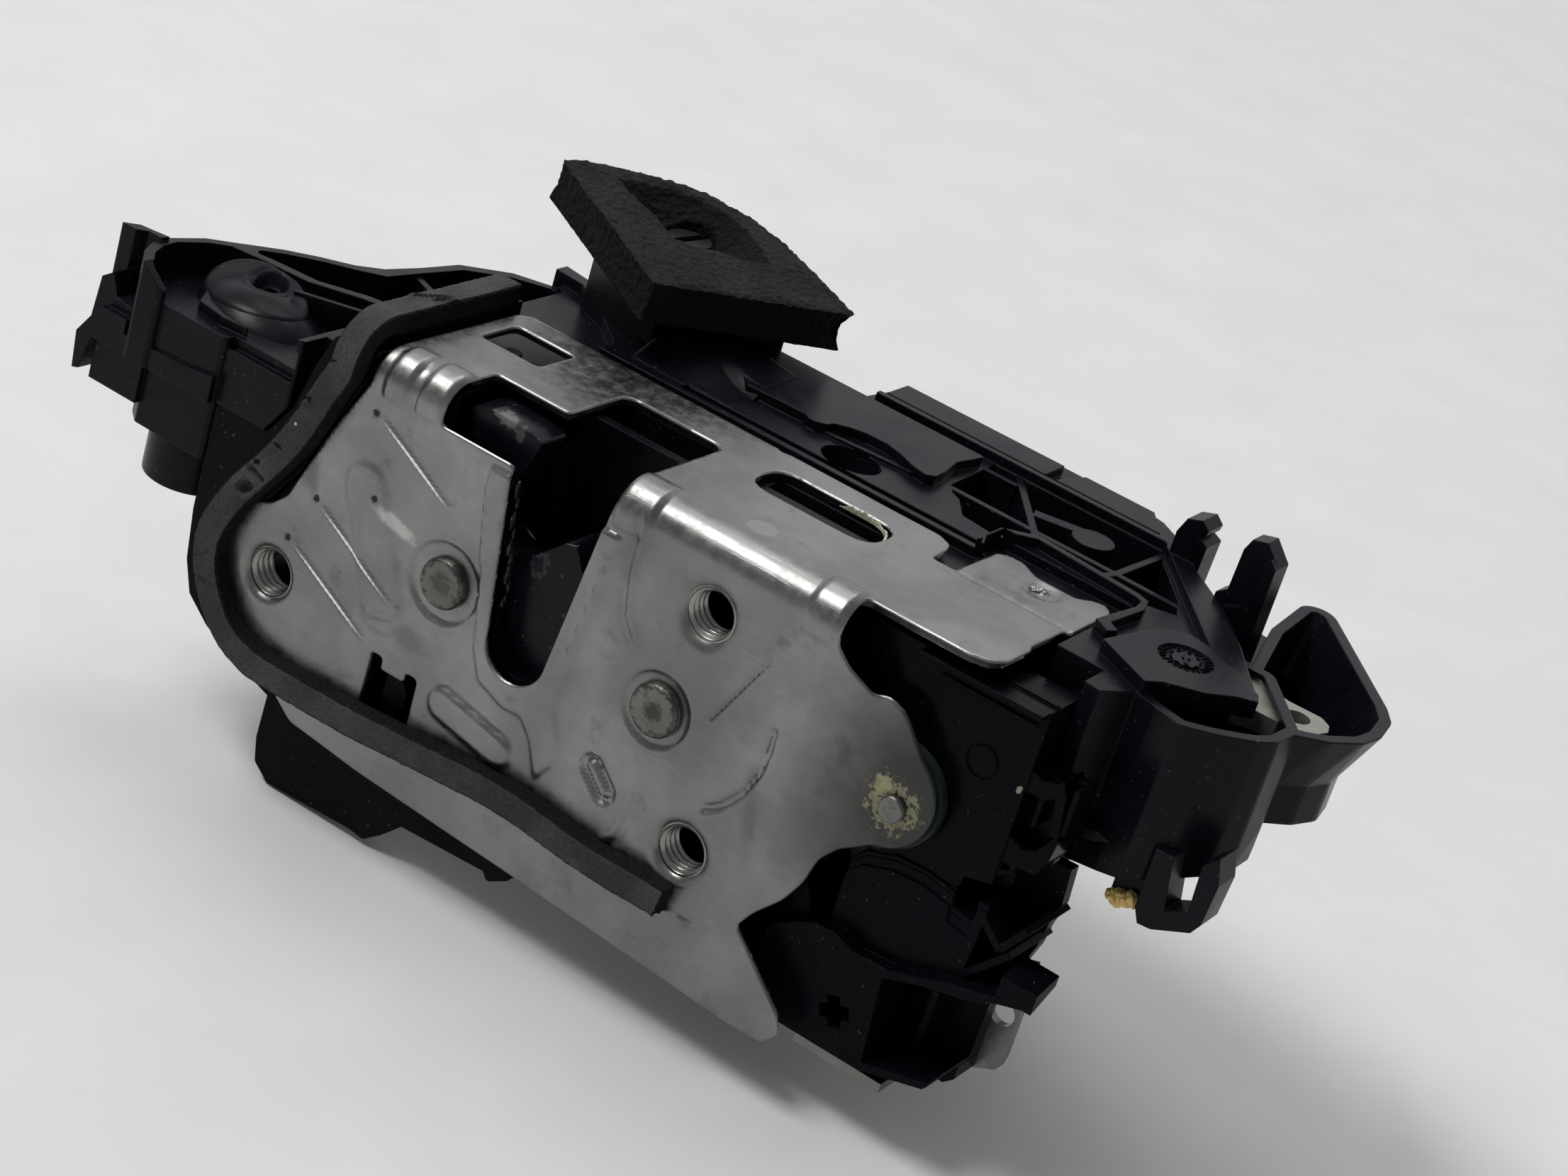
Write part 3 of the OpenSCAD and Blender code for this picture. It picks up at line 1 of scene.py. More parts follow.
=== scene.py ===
import math
from math import cos, exp, pi, radians, sin

import bmesh
import bpy
import numpy as np
from mathutils import Matrix, Vector, noise
from mathutils.geometry import delaunay_2d_cdt


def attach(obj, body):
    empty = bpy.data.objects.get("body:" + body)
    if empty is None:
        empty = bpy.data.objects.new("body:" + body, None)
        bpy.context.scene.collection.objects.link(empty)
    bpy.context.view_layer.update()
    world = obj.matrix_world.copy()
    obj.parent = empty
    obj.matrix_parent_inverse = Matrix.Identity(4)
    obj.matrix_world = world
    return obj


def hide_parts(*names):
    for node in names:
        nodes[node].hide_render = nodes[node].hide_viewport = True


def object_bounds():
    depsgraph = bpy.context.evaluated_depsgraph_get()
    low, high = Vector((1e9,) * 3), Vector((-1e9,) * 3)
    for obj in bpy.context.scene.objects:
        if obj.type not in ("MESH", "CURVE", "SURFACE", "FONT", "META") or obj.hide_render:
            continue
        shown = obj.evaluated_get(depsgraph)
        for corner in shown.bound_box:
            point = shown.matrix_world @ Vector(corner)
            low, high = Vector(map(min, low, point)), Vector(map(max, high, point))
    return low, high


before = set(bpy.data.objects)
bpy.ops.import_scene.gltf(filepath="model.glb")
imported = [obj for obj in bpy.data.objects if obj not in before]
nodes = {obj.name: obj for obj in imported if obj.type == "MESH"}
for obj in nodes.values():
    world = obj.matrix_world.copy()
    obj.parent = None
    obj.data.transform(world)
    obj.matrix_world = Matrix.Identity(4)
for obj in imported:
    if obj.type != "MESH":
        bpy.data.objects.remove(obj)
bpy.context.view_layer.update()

# Looks of the car door lock. Lengths of the part are in mm and become metres by MM; floor and lamps are
# in metres. The numbers of outlines, reliefs and marks are places on the part, read through the camera.
MM = 0.001
ROOT = "lock_case"
scene = bpy.context.scene


# ---------- materials
def tree(name):
    m = bpy.data.materials.new(name)
    m.use_nodes = True
    t = m.node_tree
    t.nodes.clear()
    out = t.nodes.new("ShaderNodeOutputMaterial")
    shader = t.nodes.new("ShaderNodeBsdfPrincipled")
    t.links.new(shader.outputs["BSDF"], out.inputs["Surface"])
    return m, t, shader


def feed(t, socket, value):
    """Links another socket to this one, or sets its value."""
    if isinstance(value, bpy.types.NodeSocket):
        t.links.new(value, socket)
    else:
        socket.default_value = (*value, 1) if socket.type == "RGBA" else value


def put(t, kind, props=None, **ins):
    """A shader node; its inputs are given by name, or as _0, _1 by their place."""
    n = t.nodes.new("ShaderNode" + kind)
    for k, v in (props or {}).items():
        setattr(n, k, v)
    for k, v in ins.items():
        feed(t, n.inputs[int(k[1:])] if k[0] == "_" else n.inputs[k], v)
    return n


def math_node(t, op, a, b):
    return put(t, "Math", {"operation": op}, _0=a, _1=b).outputs[0]


def times(t, a, b):
    return math_node(t, "MULTIPLY", a, b)


def plus(t, a, b):
    return math_node(t, "ADD", a, b)


def rest(t, a):
    """What is left of 1."""
    return math_node(t, "SUBTRACT", 1.0, a)


def ramp(t, fac, low, high, a=0.0, b=1.0):
    """fac between low and high, eased to run from a to b."""
    ends = {"From Min": low, "From Max": high, "To Min": a, "To Max": b}
    return put(t, "MapRange", {"interpolation_type": "SMOOTHSTEP"}, Value=fac, **ends).outputs[0]


def coords(t, scale=(1, 1, 1), turn=(0, 0, 0)):
    """Object coordinates, which are the part's own frame in metres."""
    c = put(t, "TexCoord").outputs["Object"]
    return put(t, "Mapping", None, Vector=c, Scale=scale, Rotation=turn).outputs[0]


def fuzz(t, at, scale, detail=3.0, rough=0.55):
    n = put(t, "TexNoise", None, Vector=at, Scale=scale, Detail=detail, Roughness=rough)
    return n.outputs[0]


def mix(t, fac, a, b):
    """Colour a where fac is 0, b where it is 1."""
    return put(t, "Mix", {"data_type": "RGBA"}, _0=fac, _6=a, _7=b).outputs[2]


def bump(t, height, strength, distance, normal=None):
    n = put(t, "Bump", None, Height=height, Strength=strength, Distance=distance)
    if normal is not None:
        feed(t, n.inputs["Normal"], normal)
    return n.outputs[0]


def shade(base, k, add=0.0):
    """A colour k times as light as base, with a little added, held to 1."""
    return tuple(min(1, c * k + add) for c in base)


def length(t, vector):
    return put(t, "VectorMath", {"operation": "LENGTH"}, _0=vector).outputs["Value"]


def streaks(t, turn, along=60, across=5000, low=0.63, high=0.74):
    """Fine scratches that run one way: noise stretched along one axis, cut to its peaks."""
    at = coords(t, (along, across, across), turn)
    return ramp(t, fuzz(t, at, 1.0, 2.0), low, high)


def mark(centre, half, tint, turn=0.0, rough=0.6, strength=1.0, ragged=0.35, soft=0.3, hole=0.0, size=700,
         bare=False):
    """A worn, stained or painted blot, or a painted highlight or shade, as a step that lays it on a surface.

    centre and half are its place and half sizes in mm, turned about Y by degrees. ragged and size shape
    its edge, soft is the share that fades out, hole leaves out its middle, bare ends the metal under it.
    """
    def lay(t, col, under, metal):
        at = put(t, "TexCoord").outputs["Object"]
        n = put(t, "Mapping", {"vector_type": "TEXTURE"}, Vector=at,
                Location=[c * MM for c in centre], Rotation=(0, radians(turn), 0),
                Scale=[c * MM for c in half]).outputs[0]
        r = length(t, n)
        uneven = math_node(t, "SUBTRACT", fuzz(t, at, size, 4, 0.65), 0.5)
        r = plus(t, r, times(t, uneven, 3 * ragged))
        m = ramp(t, r, 1 - soft, 1, strength, 0)
        if hole:
            m = times(t, m, ramp(t, r, hole - 0.12, hole))
        col = mix(t, m, col, tint)
        under = plus(t, times(t, under, rest(t, m)), times(t, m, rough))
        return col, under, times(t, rest(t, m), metal) if bare else metal

    return lay


def marked(t, s, col, rough, metal, marks):
    """Colour, roughness and metal of a surface after its marks, given to its shader."""
    for lay in marks:
        col, rough, metal = lay(t, col, rough, metal)
    feed(t, s.inputs["Base Color"], col)
    feed(t, s.inputs["Roughness"], rough)
    feed(t, s.inputs["Metallic"], metal)


def steel(name, base, rough=0.36, stain=0.35, worn=0.5, grain=0.25, metal=1.0, marks=()):
    """Zinc-plated sheet: mottled plating, smudges, fine scratches one way and another."""
    m, t, s = tree(name)
    at = coords(t)
    cloud, mottle, fine = fuzz(t, at, 55, 4), fuzz(t, at, 420, 3), fuzz(t, at, 3500, 2)
    blot = ramp(t, fuzz(t, at, 130, 5, 0.7), 0.56, 0.72)
    lines = math_node(t, "MAXIMUM", streaks(t, (0.2, 0.3, 0.5)),
                      streaks(t, (1.1, -0.6, 0.2), 90, 4200, 0.66, 0.76))
    light = shade(base, 1.12)
    col = mix(t, ramp(t, cloud, 0.35, 0.7), shade(base, 0.78), light)
    col = mix(t, times(t, ramp(t, mottle, 0.4, 0.75), 0.4), col, light)
    col = mix(t, times(t, blot, stain), col, shade(base, 0.42))
    col = mix(t, times(t, lines, worn * 0.5), col, shade(base, 1.5))
    r = plus(t, ramp(t, mottle, 0.3, 0.75, rough - 0.06, rough + 0.1), times(t, blot, 0.12))
    r = plus(t, r, ramp(t, fuzz(t, at, 1500, 4, 0.7), 0.38, 0.68, -0.02, 0.06))
    marked(t, s, col, math_node(t, "SUBTRACT", r, times(t, lines, 0.1)), metal, marks)
    b = bump(t, fine, grain, 0.00003)
    b = bump(t, cloud, 0.25, 0.0002, b)
    b = bump(t, lines, 0.3, 0.00002, b)
    feed(t, s.inputs["Normal"], b)
    return m


SPECK = (0.22, 0.22, 0.215)


def plastic(name, base, rough=0.42, grain=0.25, dust=0.25, scratch=0.3, edge=0.25, size=2600, gloss=0.2,
            marks=()):
    """Moulded plastic: spark-eroded grain, dust in specks and films, rubbed scratches, softened edges."""
    m, t, s = tree(name)
    at = coords(t)
    cloud, fine = fuzz(t, at, 70, 4), fuzz(t, at, size, 2)
    speck = ramp(t, fuzz(t, at, 1400, 1.5, 0.4), 0.735, 0.76)
    film = ramp(t, fuzz(t, at, 160, 5, 0.65), 0.48, 0.75)
    lines = math_node(t, "MAXIMUM", streaks(t, (0.4, 0.9, 0.3), 80, 3600, 0.66, 0.74),
                      streaks(t, (1.3, 0.2, -0.7), 120, 3000, 0.68, 0.76))
    col = mix(t, ramp(t, cloud, 0.35, 0.7), shade(base, 0.8), shade(base, 1.25))
    col = mix(t, times(t, film, dust * 0.35), col, shade(base, 1.7, 0.018))
    col = mix(t, times(t, speck, min(1, dust * 0.9)), col, SPECK)
    col = mix(t, times(t, lines, scratch * 0.5), col, shade(base, 1.5, 0.03))
    s.inputs["Specular IOR Level"].default_value = gloss
    r = plus(t, ramp(t, cloud, 0.3, 0.75, rough - 0.05, rough + 0.08), times(t, film, 0.14 * dust + 0.02))
    marked(t, s, col, r, 0.0, marks)
    soft = put(t, "Bevel", {"samples": 4}, Radius=edge * MM).outputs[0]
    b = bump(t, fine, grain, 0.00004, soft)
    b = bump(t, lines, 0.2 * scratch, 0.00002, b)
    feed(t, s.inputs["Normal"], b)
    return m


def foam(name, base, pore=900, depth=0.5, speck=0.4, rough=0.9, marks=()):
    """Closed-cell foam: open pores at the cut skin, pale specks of dust caught in them."""
    m, t, s = tree(name)
    at = coords(t)
    cells = put(t, "TexVoronoi", None, Vector=at, Scale=pore).outputs["Distance"]
    fine, cloud = fuzz(t, at, pore * 2.2, 3), fuzz(t, at, 110, 4)
    dots = ramp(t, fuzz(t, at, 2100, 1.0, 0.4), 0.69, 0.74)
    col = mix(t, ramp(t, cloud, 0.35, 0.7), shade(base, 0.75), shade(base, 1.3))
    col = mix(t, ramp(t, cells, 0.1, 0.45, 0.55, 0.0), col, shade(base, 0.35))
    col = mix(t, times(t, dots, speck), col, shade(base, 2.2, 0.03))
    s.inputs["Specular IOR Level"].default_value = 0.15
    marked(t, s, col, rough, 0.0, marks)
    b = bump(t, fine, depth, 0.0001)
    feed(t, s.inputs["Normal"], bump(t, cells, depth, 0.00035, b))
    return m


DIRT, CREAM, SCRAPED = (0.07, 0.068, 0.062), (0.5, 0.47, 0.27), (0.2, 0.21, 0.21)
# GAP_SHADE is painted shade: the dark of the gap round the pivot heads
GAP_SHADE, PIT, BLACK = (0.05, 0.052, 0.05), (0.012, 0.012, 0.013), (0.004, 0.004, 0.004)
PITS = ((-63, 2.1), (-69.9, -15.7), (-59.3, -10.5), (-73.4, -24.1))
FACE_MARKS = [
    mark((36, 3, -14), (20, 14, 30), (0.045, 0.045, 0.044), rough=0.4, strength=0.93, ragged=0.12, soft=0.8,
         size=90),
    mark((-2, 0, -12), (17, 6, 18), (0.15, 0.15, 0.145), rough=0.38, strength=0.62, ragged=0.3, soft=0.7,
         size=120),
    mark((34.2, 3.6, -14.2), (4.4, 6, 4.4), CREAM, rough=0.8, strength=0.42, ragged=0.8, hole=0.5, size=1100,
         bare=True),
    mark((31.7, 3.6, -12.2), (1.7, 5, 2.1), CREAM, 30, 0.8, 0.5, 0.8, 0.4, size=1300, bare=True),
    mark((-0.1, 8.4, 12), (2.6, 2.4, 3), (0.42, 0.42, 0.41), rough=0.5, strength=0.35, ragged=0.2, soft=0.2),
    mark((-54.8, 0, -12.6), (5.4, 3, 1.5), (0.55, 0.55, 0.54), 15.8, 0.3, 0.7, 0.3, 0.6, size=900),
    mark((-72.3, 0, -12), (2.4, 3, 5), DIRT, -25, 0.5, 0.4, 0.5, 0.7, size=400),
] + [
    mark((x, 0, z), half, DIRT, turn, 0.5, strength, 0.5, 0.8, size=300) for x, z, half, turn, strength in (
        (-47, -29, (5, 3, 3), 10, 0.3), (-14, 3, (4, 3, 7), 10, 0.25), (15.5, -24, (2.2, 3, 9), -12, 0.3))
] + [mark((x, 0, z), (0.75, 1.5, 0.75), PIT, soft=0.4, size=1500, bare=True) for x, z in PITS]
CREASES = [  # ends, half width, height
    ((-62.2, 2.2), (-45.4, -6.3), 0.62, 0.42), ((-69.3, -16), (-51.1, -25.3), 0.68, 0.45),
    ((-72.8, -24.1), (-54.4, -33.3), 0.68, 0.42), ((12, -0.7), (4.1, -16.9), 0.55, -0.55),
    ((-40.4, -0.6), (-38.4, -12), 0.6, 0.35), ((-17.6, 0.4), (-20.4, -19.5), 0.6, 0.4),
    ((7, -46), (12.6, -45.6), 0.5, 0.35), ((8.6, -16.1), (12.4, -15.6), 0.35, 0.18),
    ((12.4, -15.6), (12.6, -13.6), 0.3, 0.18),
]
# painted highlights: a near-white line laid along the crest of each of the first three creases, standing in
# for the light they catch
for a, b, _, _ in CREASES[:3]:  # bright crests
    middle, half = ((a[0] + b[0]) / 2, -0.4, (a[1] + b[1]) / 2), (math.dist(a, b) / 2 - 0.3, 1.2, 0.3)
    turn = math.degrees(math.atan2(a[1] - b[1], b[0] - a[0]))
    FACE_MARKS.append(mark(middle, half, (0.9, 0.9, 0.89), turn, 0.25, 0.9, 0.0, 0.5))
FACE_STEEL = steel("face_steel_plating", (0.25, 0.25, 0.245), 0.34, 0.42, 0.6, 0.25, marks=FACE_MARKS)
BACK_STEEL = steel("back_steel_plating", (0.25, 0.25, 0.24), 0.38)
RIVET_STEEL = steel("pivot_steel_riveted", (0.17, 0.168, 0.158), 0.42, 0.85, 0.7, 0.8, marks=[
    mark((-43.7, -1, -17), (2.5, 2, 2.3), (0.06, 0.06, 0.056), 20, 0.5, 0.6, 0.7, 0.6, size=1000),
    mark((-3.6, -1, -17.5), (1.9, 2, 1.8), (0.05, 0.05, 0.048), 0, 0.5, 0.8, 0.7, 0.5, size=1200),
    # painted shade: a dark ring on the rim of each pivot head, where the head meets the plate
    mark((-43.9, -1, -17.2), (4.3, 2, 4.3), GAP_SHADE, 0, 0.5, 0.8, 0.35, 0.12, 0.86, size=900),
    mark((-3.7, -1, -17.6), (4.45, 2, 4.45), GAP_SHADE, 0, 0.5, 0.8, 0.35, 0.12, 0.86, size=900)])
THREAD_STEEL = steel("thread_steel", (0.33, 0.325, 0.31), 0.28, 0.4, 0.4, 0.2)
FORGED = steel("forged_steel_bare", (0.26, 0.26, 0.27), 0.4, 0.4, 0.8)
SPRING = steel("spring_steel_oiled", (0.24, 0.24, 0.25), 0.3)
SCREW = steel("screw_steel_plated", (0.3, 0.3, 0.3), 0.35)
CAN = steel("motor_can_drawn", (0.28, 0.28, 0.29), 0.33)
CAST = steel("lever_metal_cast", (0.32, 0.315, 0.28), 0.48, 0.5, 0.5, 0.9, 0.8)
BRASS = steel("worm_brass_turned", (0.55, 0.42, 0.17), 0.28)
COPPER = steel("contact_strip_copper", (0.5, 0.3, 0.15), 0.32)
SHELL = plastic("shell_plastic_grained", (0.0034, 0.0044, 0.0068), 0.3, 0.3, 0.26, 0.4, 0.35, gloss=0.12)
LATCH = plastic("latch_plastic_grained", (0.0019, 0.0026, 0.0044), 0.3, 0.25, 0.22, 0.4, 0.3, gloss=0.06)
COVER = plastic("cover_plastic_satin", (0.0017, 0.0021, 0.0032), 0.22, 0.08, 0.14, 0.35, 0.3, gloss=0.06,
                marks=[mark((49.8, 8.2, -4.2), (0.45, 1, 0.7), (0.34, 0.33, 0.27), 20, 0.7, 0.8, 0.6, 0.3,
                            size=1900)])
COATING = plastic("coating_plastic_glossy", (0.004, 0.005, 0.008), 0.22, 0.08, 0.3, 0.8, 0.5, gloss=0.14,
                  marks=[
    mark((-43.8, 4.6, 9.6), (2.9, 3.2, 1.4), (0.2, 0.2, 0.2), 20, 0.45, 0.75, 0.5, 0.5, size=900),
    mark((-40.6, 4.6, 8.4), (0.9, 2, 2.0), (0.12, 0.12, 0.12), 0, 0.45, 0.5, 0.6, 0.5, size=1200),
    *(mark((x, 4.6, z), half, SCRAPED, turn, 0.4, 0.9, 0.15, 0.5, size=400) for x, z, half, turn in (
        (-26.8, -2, (2.6, 1, 0.14), 12), (-26.6, -3.3, (2.2, 1, 0.12), -14),
        (-24.9, -2.5, (0.12, 1, 1.3), 16))),
    mark((-31.6, 4.6, -9), (1.6, 1, 2.4), (0.05, 0.06, 0.062), 10, 0.3, 0.6, 0.7, 0.2, 0.6, size=900)])
HUB = plastic("hub_plastic_satin", (0.008, 0.009, 0.011), 0.34, 0.1, 0.3, 0.3, 0.25)
GEAR = plastic("gear_plastic_natural", (0.62, 0.59, 0.5), 0.45, 0.15, 0.1, 0.2, 0.15)
RED = plastic("button_plastic_red", (0.42, 0.05, 0.035), 0.4)
RUBBER = plastic("buffer_rubber_matt", (0.01, 0.01, 0.01), 0.7, 0.4)
GREEN = plastic("lever_coat_green", (0.016, 0.026, 0.024), 0.3, 0.1, 0.2, 0.5, 0.3)
YELLOW = plastic("yellow_compound", (0.9, 0.64, 0.24), 0.5, 0.4, 0.1, 0.1, 0.2, 900)
FILM = plastic("film_yellow_torn", (0.5, 0.49, 0.36), 0.5, 0.8, 0.4, 0.3, 0.1, 1200)
GREASE = plastic("grease_dark", (0.012, 0.014, 0.013), 0.28, 0.9, 0.6, 0.2, 0.1, 1500, gloss=0.4)
ENGRAVED = plastic("mark_dark_engraved", (0.0025, 0.003, 0.004), 0.9, 0.4, 0.1, 0.0, 0.05, gloss=0.02)
SEAL = foam("seal_foam_skin", (0.05, 0.05, 0.049), 1500, 0.35, 0.15, 0.75, marks=[
    *(mark((x, -3, z), half, BLACK, turn, 0.9, 0.95, ragged, size=1500) for x, z, half, turn, ragged in (
        (-71.2, 7.6, (1.5, 1, 0.3), -20, 0.25), (-76.9, -9.4, (1.2, 1, 0.35), 10, 0.3),
        (-80, -13.6, (0.8, 1, 0.55), -30, 0.3))),
    mark((-71.8, 6.6, 15.6), (0.4, 4, 0.9), BLACK, 0, 0.9, 0.9, 0.5, size=1200),
    mark((-74.6, -3, -4.6), (0.3, 1, 0.3), (0.5, 0.5, 0.48), 0, 0.7, 1, 0.3, size=1500),
    mark((-74, -3, 11.1), (0.5, 2, 0.9), (0.35, 0.35, 0.34), 30, 0.6, 0.9, 0.5, size=1500),
    mark((-86.6, -3, -33), (2.6, 1, 0.16), (0.02, 0.02, 0.02), -35, 0.9, 0.8, 0.2, size=900)])
SEAL_CUT = foam("seal_foam_cut", (0.009, 0.009, 0.01), 1300, 0.7, 0.2)
PAD = foam("pad_foam_top", (0.016, 0.017, 0.019), 1000, 1.0, 0.35)
# darker foam: the cut side walls' own colour, and painted shade on the floor of the pad's hollow
PAD_SIDES_AND_HOLLOW_SHADE = foam("pad_foam_cut_and_hollow_shade", (0.006, 0.0065, 0.008), 1000, 1.0, 0.3)

DRESS = (
    (FACE_STEEL, "latch_plate"), (BACK_STEEL, "back_plate"), (LATCH, "latch_housing"),
    (RUBBER, "striker_buffer"), (FORGED, "catch pawl"), (COATING, "catch_coating pawl_coating"),
    (RIVET_STEEL, "catch_pivot pawl_pivot lobe_rivet pull_lever_pin wheel_axle"), (GREEN, "release_lever"),
    (SPRING, "catch_spring pawl_spring pull_lever_spring"), (COVER, "inner_cover"),
    (SHELL, "main_housing housing_cover"), (SEAL, "seal_strip"), (PAD, "foam_pad"), (CAST, "pull_lever"),
    (HUB, "key_hub wiring_plate catch_switch"), (CAN, "motor"), (BRASS, "motor_worm"),
    (GEAR, "worm_wheel lock_slide"), (COPPER, "contact_strips connector_pins"), (RED, "switch_button"),
    (SCREW, "housing_screws latch_screws"), (YELLOW, "yellow_plug"),
)
for m, names in DRESS:
    for name in names.split():
        slots = nodes[name].data.materials
        slots.clear()
        slots.append(m)


# ---------- mesh helpers
def new_object(name, data):
    o = bpy.data.objects.new(name, data)
    scene.collection.objects.link(o)
    return o


def shown(name, me, m, flat=False, body=ROOT):
    """A mesh as an object on a body, with its material."""
    me.materials.append(m)
    if not flat:
        me.polygons.foreach_set("use_smooth", [True] * len(me.polygons))
    o = new_object(name, me)
    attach(o, body)
    return o


def piece(name, verts, faces, m, flat=False):
    """A new mesh from places in mm."""
    me = bpy.data.meshes.new(name)
    me.from_pydata([tuple(c * MM for c in v) for v in verts], [], [tuple(f) for f in faces])
    me.validate()
    return shown(name, me, m, flat)


def split_sharp(o, degrees):
    """Smooth shading that breaks at edges sharper than degrees; gives the object back."""
    bm = bmesh.new()
    bm.from_mesh(o.data)
    for e in bm.edges:
        e.smooth = e.is_manifold and e.calc_face_angle(0) < radians(degrees)
    for f in bm.faces:
        f.smooth = True
    bm.to_mesh(o.data)
    bm.free()
    return o


def outward(o, degrees, weld=False):
    """Doubles welded, large faces cut into triangles, all turned outward, then sharp edges split."""
    bm = bmesh.new()
    bm.from_mesh(o.data)
    if weld:
        bmesh.ops.remove_doubles(bm, verts=bm.verts, dist=1e-6)
    bmesh.ops.triangulate(bm, faces=[f for f in bm.faces if len(f.verts) > 4])
    bmesh.ops.recalc_face_normals(bm, faces=bm.faces)
    bm.to_mesh(o.data)
    bm.free()
    return split_sharp(o, degrees)


def seg_dist(p, a, b):
    """Distance of places p (n, 2) from a segment, the side they lie on and the share of its length."""
    a, b = np.array(a, float), np.array(b, float)
    d = b - a
    t = np.clip(((p - a) @ d) / (d @ d), 0, 1)
    q = p - (a + t[:, None] * d)
    side = np.sign(d[0] * q[:, 1] - d[1] * q[:, 0])
    return np.hypot(q[:, 0], q[:, 1]), side, t


def line_dist(p, pts):
    best, side, along = np.full(len(p), 1e9), np.zeros(len(p)), np.zeros(len(p))
    n = len(pts) - 1
    for i in range(n):
        d, s, t = seg_dist(p, pts[i], pts[i + 1])
        near = d < best
        best[near], side[near], along[near] = d[near], s[near], ((i + t) / n)[near]
    return best, side, along


def inside(p, poly):
    x, y = p[:, 0], p[:, 1]
    c = np.zeros(len(p), bool)
    for (x0, y0), (x1, y1) in zip(poly, poly[1:] + poly[:1]):
        if y0 == y1:
            continue
        c ^= ((y0 > y) != (y1 > y)) & (x < (x1 - x0) * (y - y0) / (y1 - y0) + x0)
    return c


def rounded(poly, r):
    """The closed outline with each corner rounded by r where its sides are long enough."""
    out = []
    n = len(poly)
    for i in range(n):
        a, b, c = (np.array(poly[j % n], float) for j in (i - 1, i, i + 1))
        u, v = a - b, c - b
        lu, lv = np.hypot(*u), np.hypot(*v)
        cut = min(r, lu * 0.45, lv * 0.45)
        p, q = b + u / lu * cut, b + v / lv * cut
        for k in range(5):
            s = k / 4
            out.append(tuple((1 - s) ** 2 * p + 2 * s * (1 - s) * b + s * s * q))
    return out


def resample(poly, step):
    """A closed outline as places about step apart."""
    out = []
    for a, b in zip(poly, poly[1:] + poly[:1]):
        d = math.dist(a, b)
        if d < 1e-6:
            continue
        n = max(1, round(d / step))
        out += [(a[0] + (b[0] - a[0]) * k / n, a[1] + (b[1] - a[1]) * k / n) for k in range(n)]
    return out


def toward(degrees):
    a = radians(degrees)
    return cos(a), sin(a)


def arc(c, r, a0, a1, n):
    ways = [toward(a0 + (a1 - a0) * k / n) for k in range(n + 1)]
    return [(c[0] + r * u, c[1] + r * v) for u, v in ways]


def round_hole(c, r):
    return arc(c, r, 0, 352.5, 47)


def ring(c, r, y, seg):
    """Places round c in the plane Y = y."""
    return [(c[0] + r * cos(2 * pi * i / seg), y, c[1] + r * sin(2 * pi * i / seg))
            for i in range(seg)]


def ring_faces(rings, seg, closed=False):
    """Faces between rings of seg places laid one after another; closed joins the last to the first."""
    pairs = [(j * seg, (j + 1) % rings * seg) for j in range(rings if closed else rings - 1)]
    return [(a + i, b + i, b + (i + 1) % seg, a + (i + 1) % seg) for a, b in pairs for i in range(seg)]


def smooth(x, a, b):
    """0 below a, 1 above b, eased between."""
    s = np.clip((x - a) / (b - a), 0, 1)
    return s * s * (3 - 2 * s)


def fall(x, a, b):
    return 1 - smooth(x, a, b)


def away(p, c):
    """Distance of places p (n, 2) from c."""
    return np.hypot(p[:, 0] - c[0], p[:, 1] - c[1])


def loops_gap(p, loops):
    """Distance of places p to the nearest place of the loops, taken in parts to save memory."""
    d = np.full(len(p), 1e9)
    for q in loops:
        a = np.array(q)
        for k in range(0, len(p), 4000):
            gap = np.sqrt(((p[k:k + 4000, None] - a[None]) ** 2).sum(2).min(1))
            d[k:k + 4000] = np.minimum(d[k:k + 4000], gap)
    return d


def wave(x, y, z):
    return noise.noise(Vector((x, y, z)))


# ---------- face plate
BEND_R, BEND_Z, THICK = 5.0, 7.0, 1.5
BORE_R, EDGE_BREAK = 4.0, 0.35
ARC_LEN = BEND_R * pi / 2
HOLES = [(-75.4, -31.5), (0, 0), (6.6, -36.1)]
CATCH, PAWL = (-43.9, -17.2), (-3.7, -17.6)
LOBE_FROM, LOBE_RUN, LOBE_BACK = 19.6, 8.2, 4.25
LOBE_LOW, LOBE_HIGH = -42, 18


def fl(y):
    """Developed height of a place on the flange at depth y."""
    return BEND_Z + ARC_LEN + y - BEND_R


outer = (
    [(-65.2, 6.9), (-65.4, 6), (-70.2, -4.1), (-73.7, -13.3), (-75.2, -17.6)]
    + arc(HOLES[0], 11.5, 103, 264, 24)
    + [(-72.5, -47.4), (-65, -52.8), (-50.2, -54.1), (-17.2, -55.4), (22, -57.2), (28.2, -57), (30.4, -54.6),
       (29.4, -51.4), (18.9, LOBE_LOW), (20.6, -39), (23.7, -35.5), (25.4, -32), (26.4, -27.5), (28.5, -24.8)]
    + arc((32.2, -13), 8.4, -82, 60, 18)
    + [(34.6, -3.6), (31.6, -0.4), (28.9, 0.6), (26.4, 0), (22.6, 3), (20.5, 5.8)]
    + [(x, fl(y)) for x, y in (
        (20.5, 5.3), (37.6, 5.4), (40.4, 6.4), (41.8, 9), (41.8, 15.6), (41.2, 16.6), (41.4, 25.8),
        (42.4, 26.6), (42.4, 38.6), (40.6, 40.3), (38.6, 39.6), (36.8, 37.6), (30, 37.6), (26.6, 39.9),
        (24, 39.9), (22.4, 38.6), (22.3, 26.6), (18.2, 26.6), (18, 31.2), (17.3, 33.4), (14.6, 34.8),
        (-12.6, 34.8), (-14, 34.3), (-15, 34.8), (-62.8, 34.8), (-64.6, 32.8), (-64.6, 5))]
)
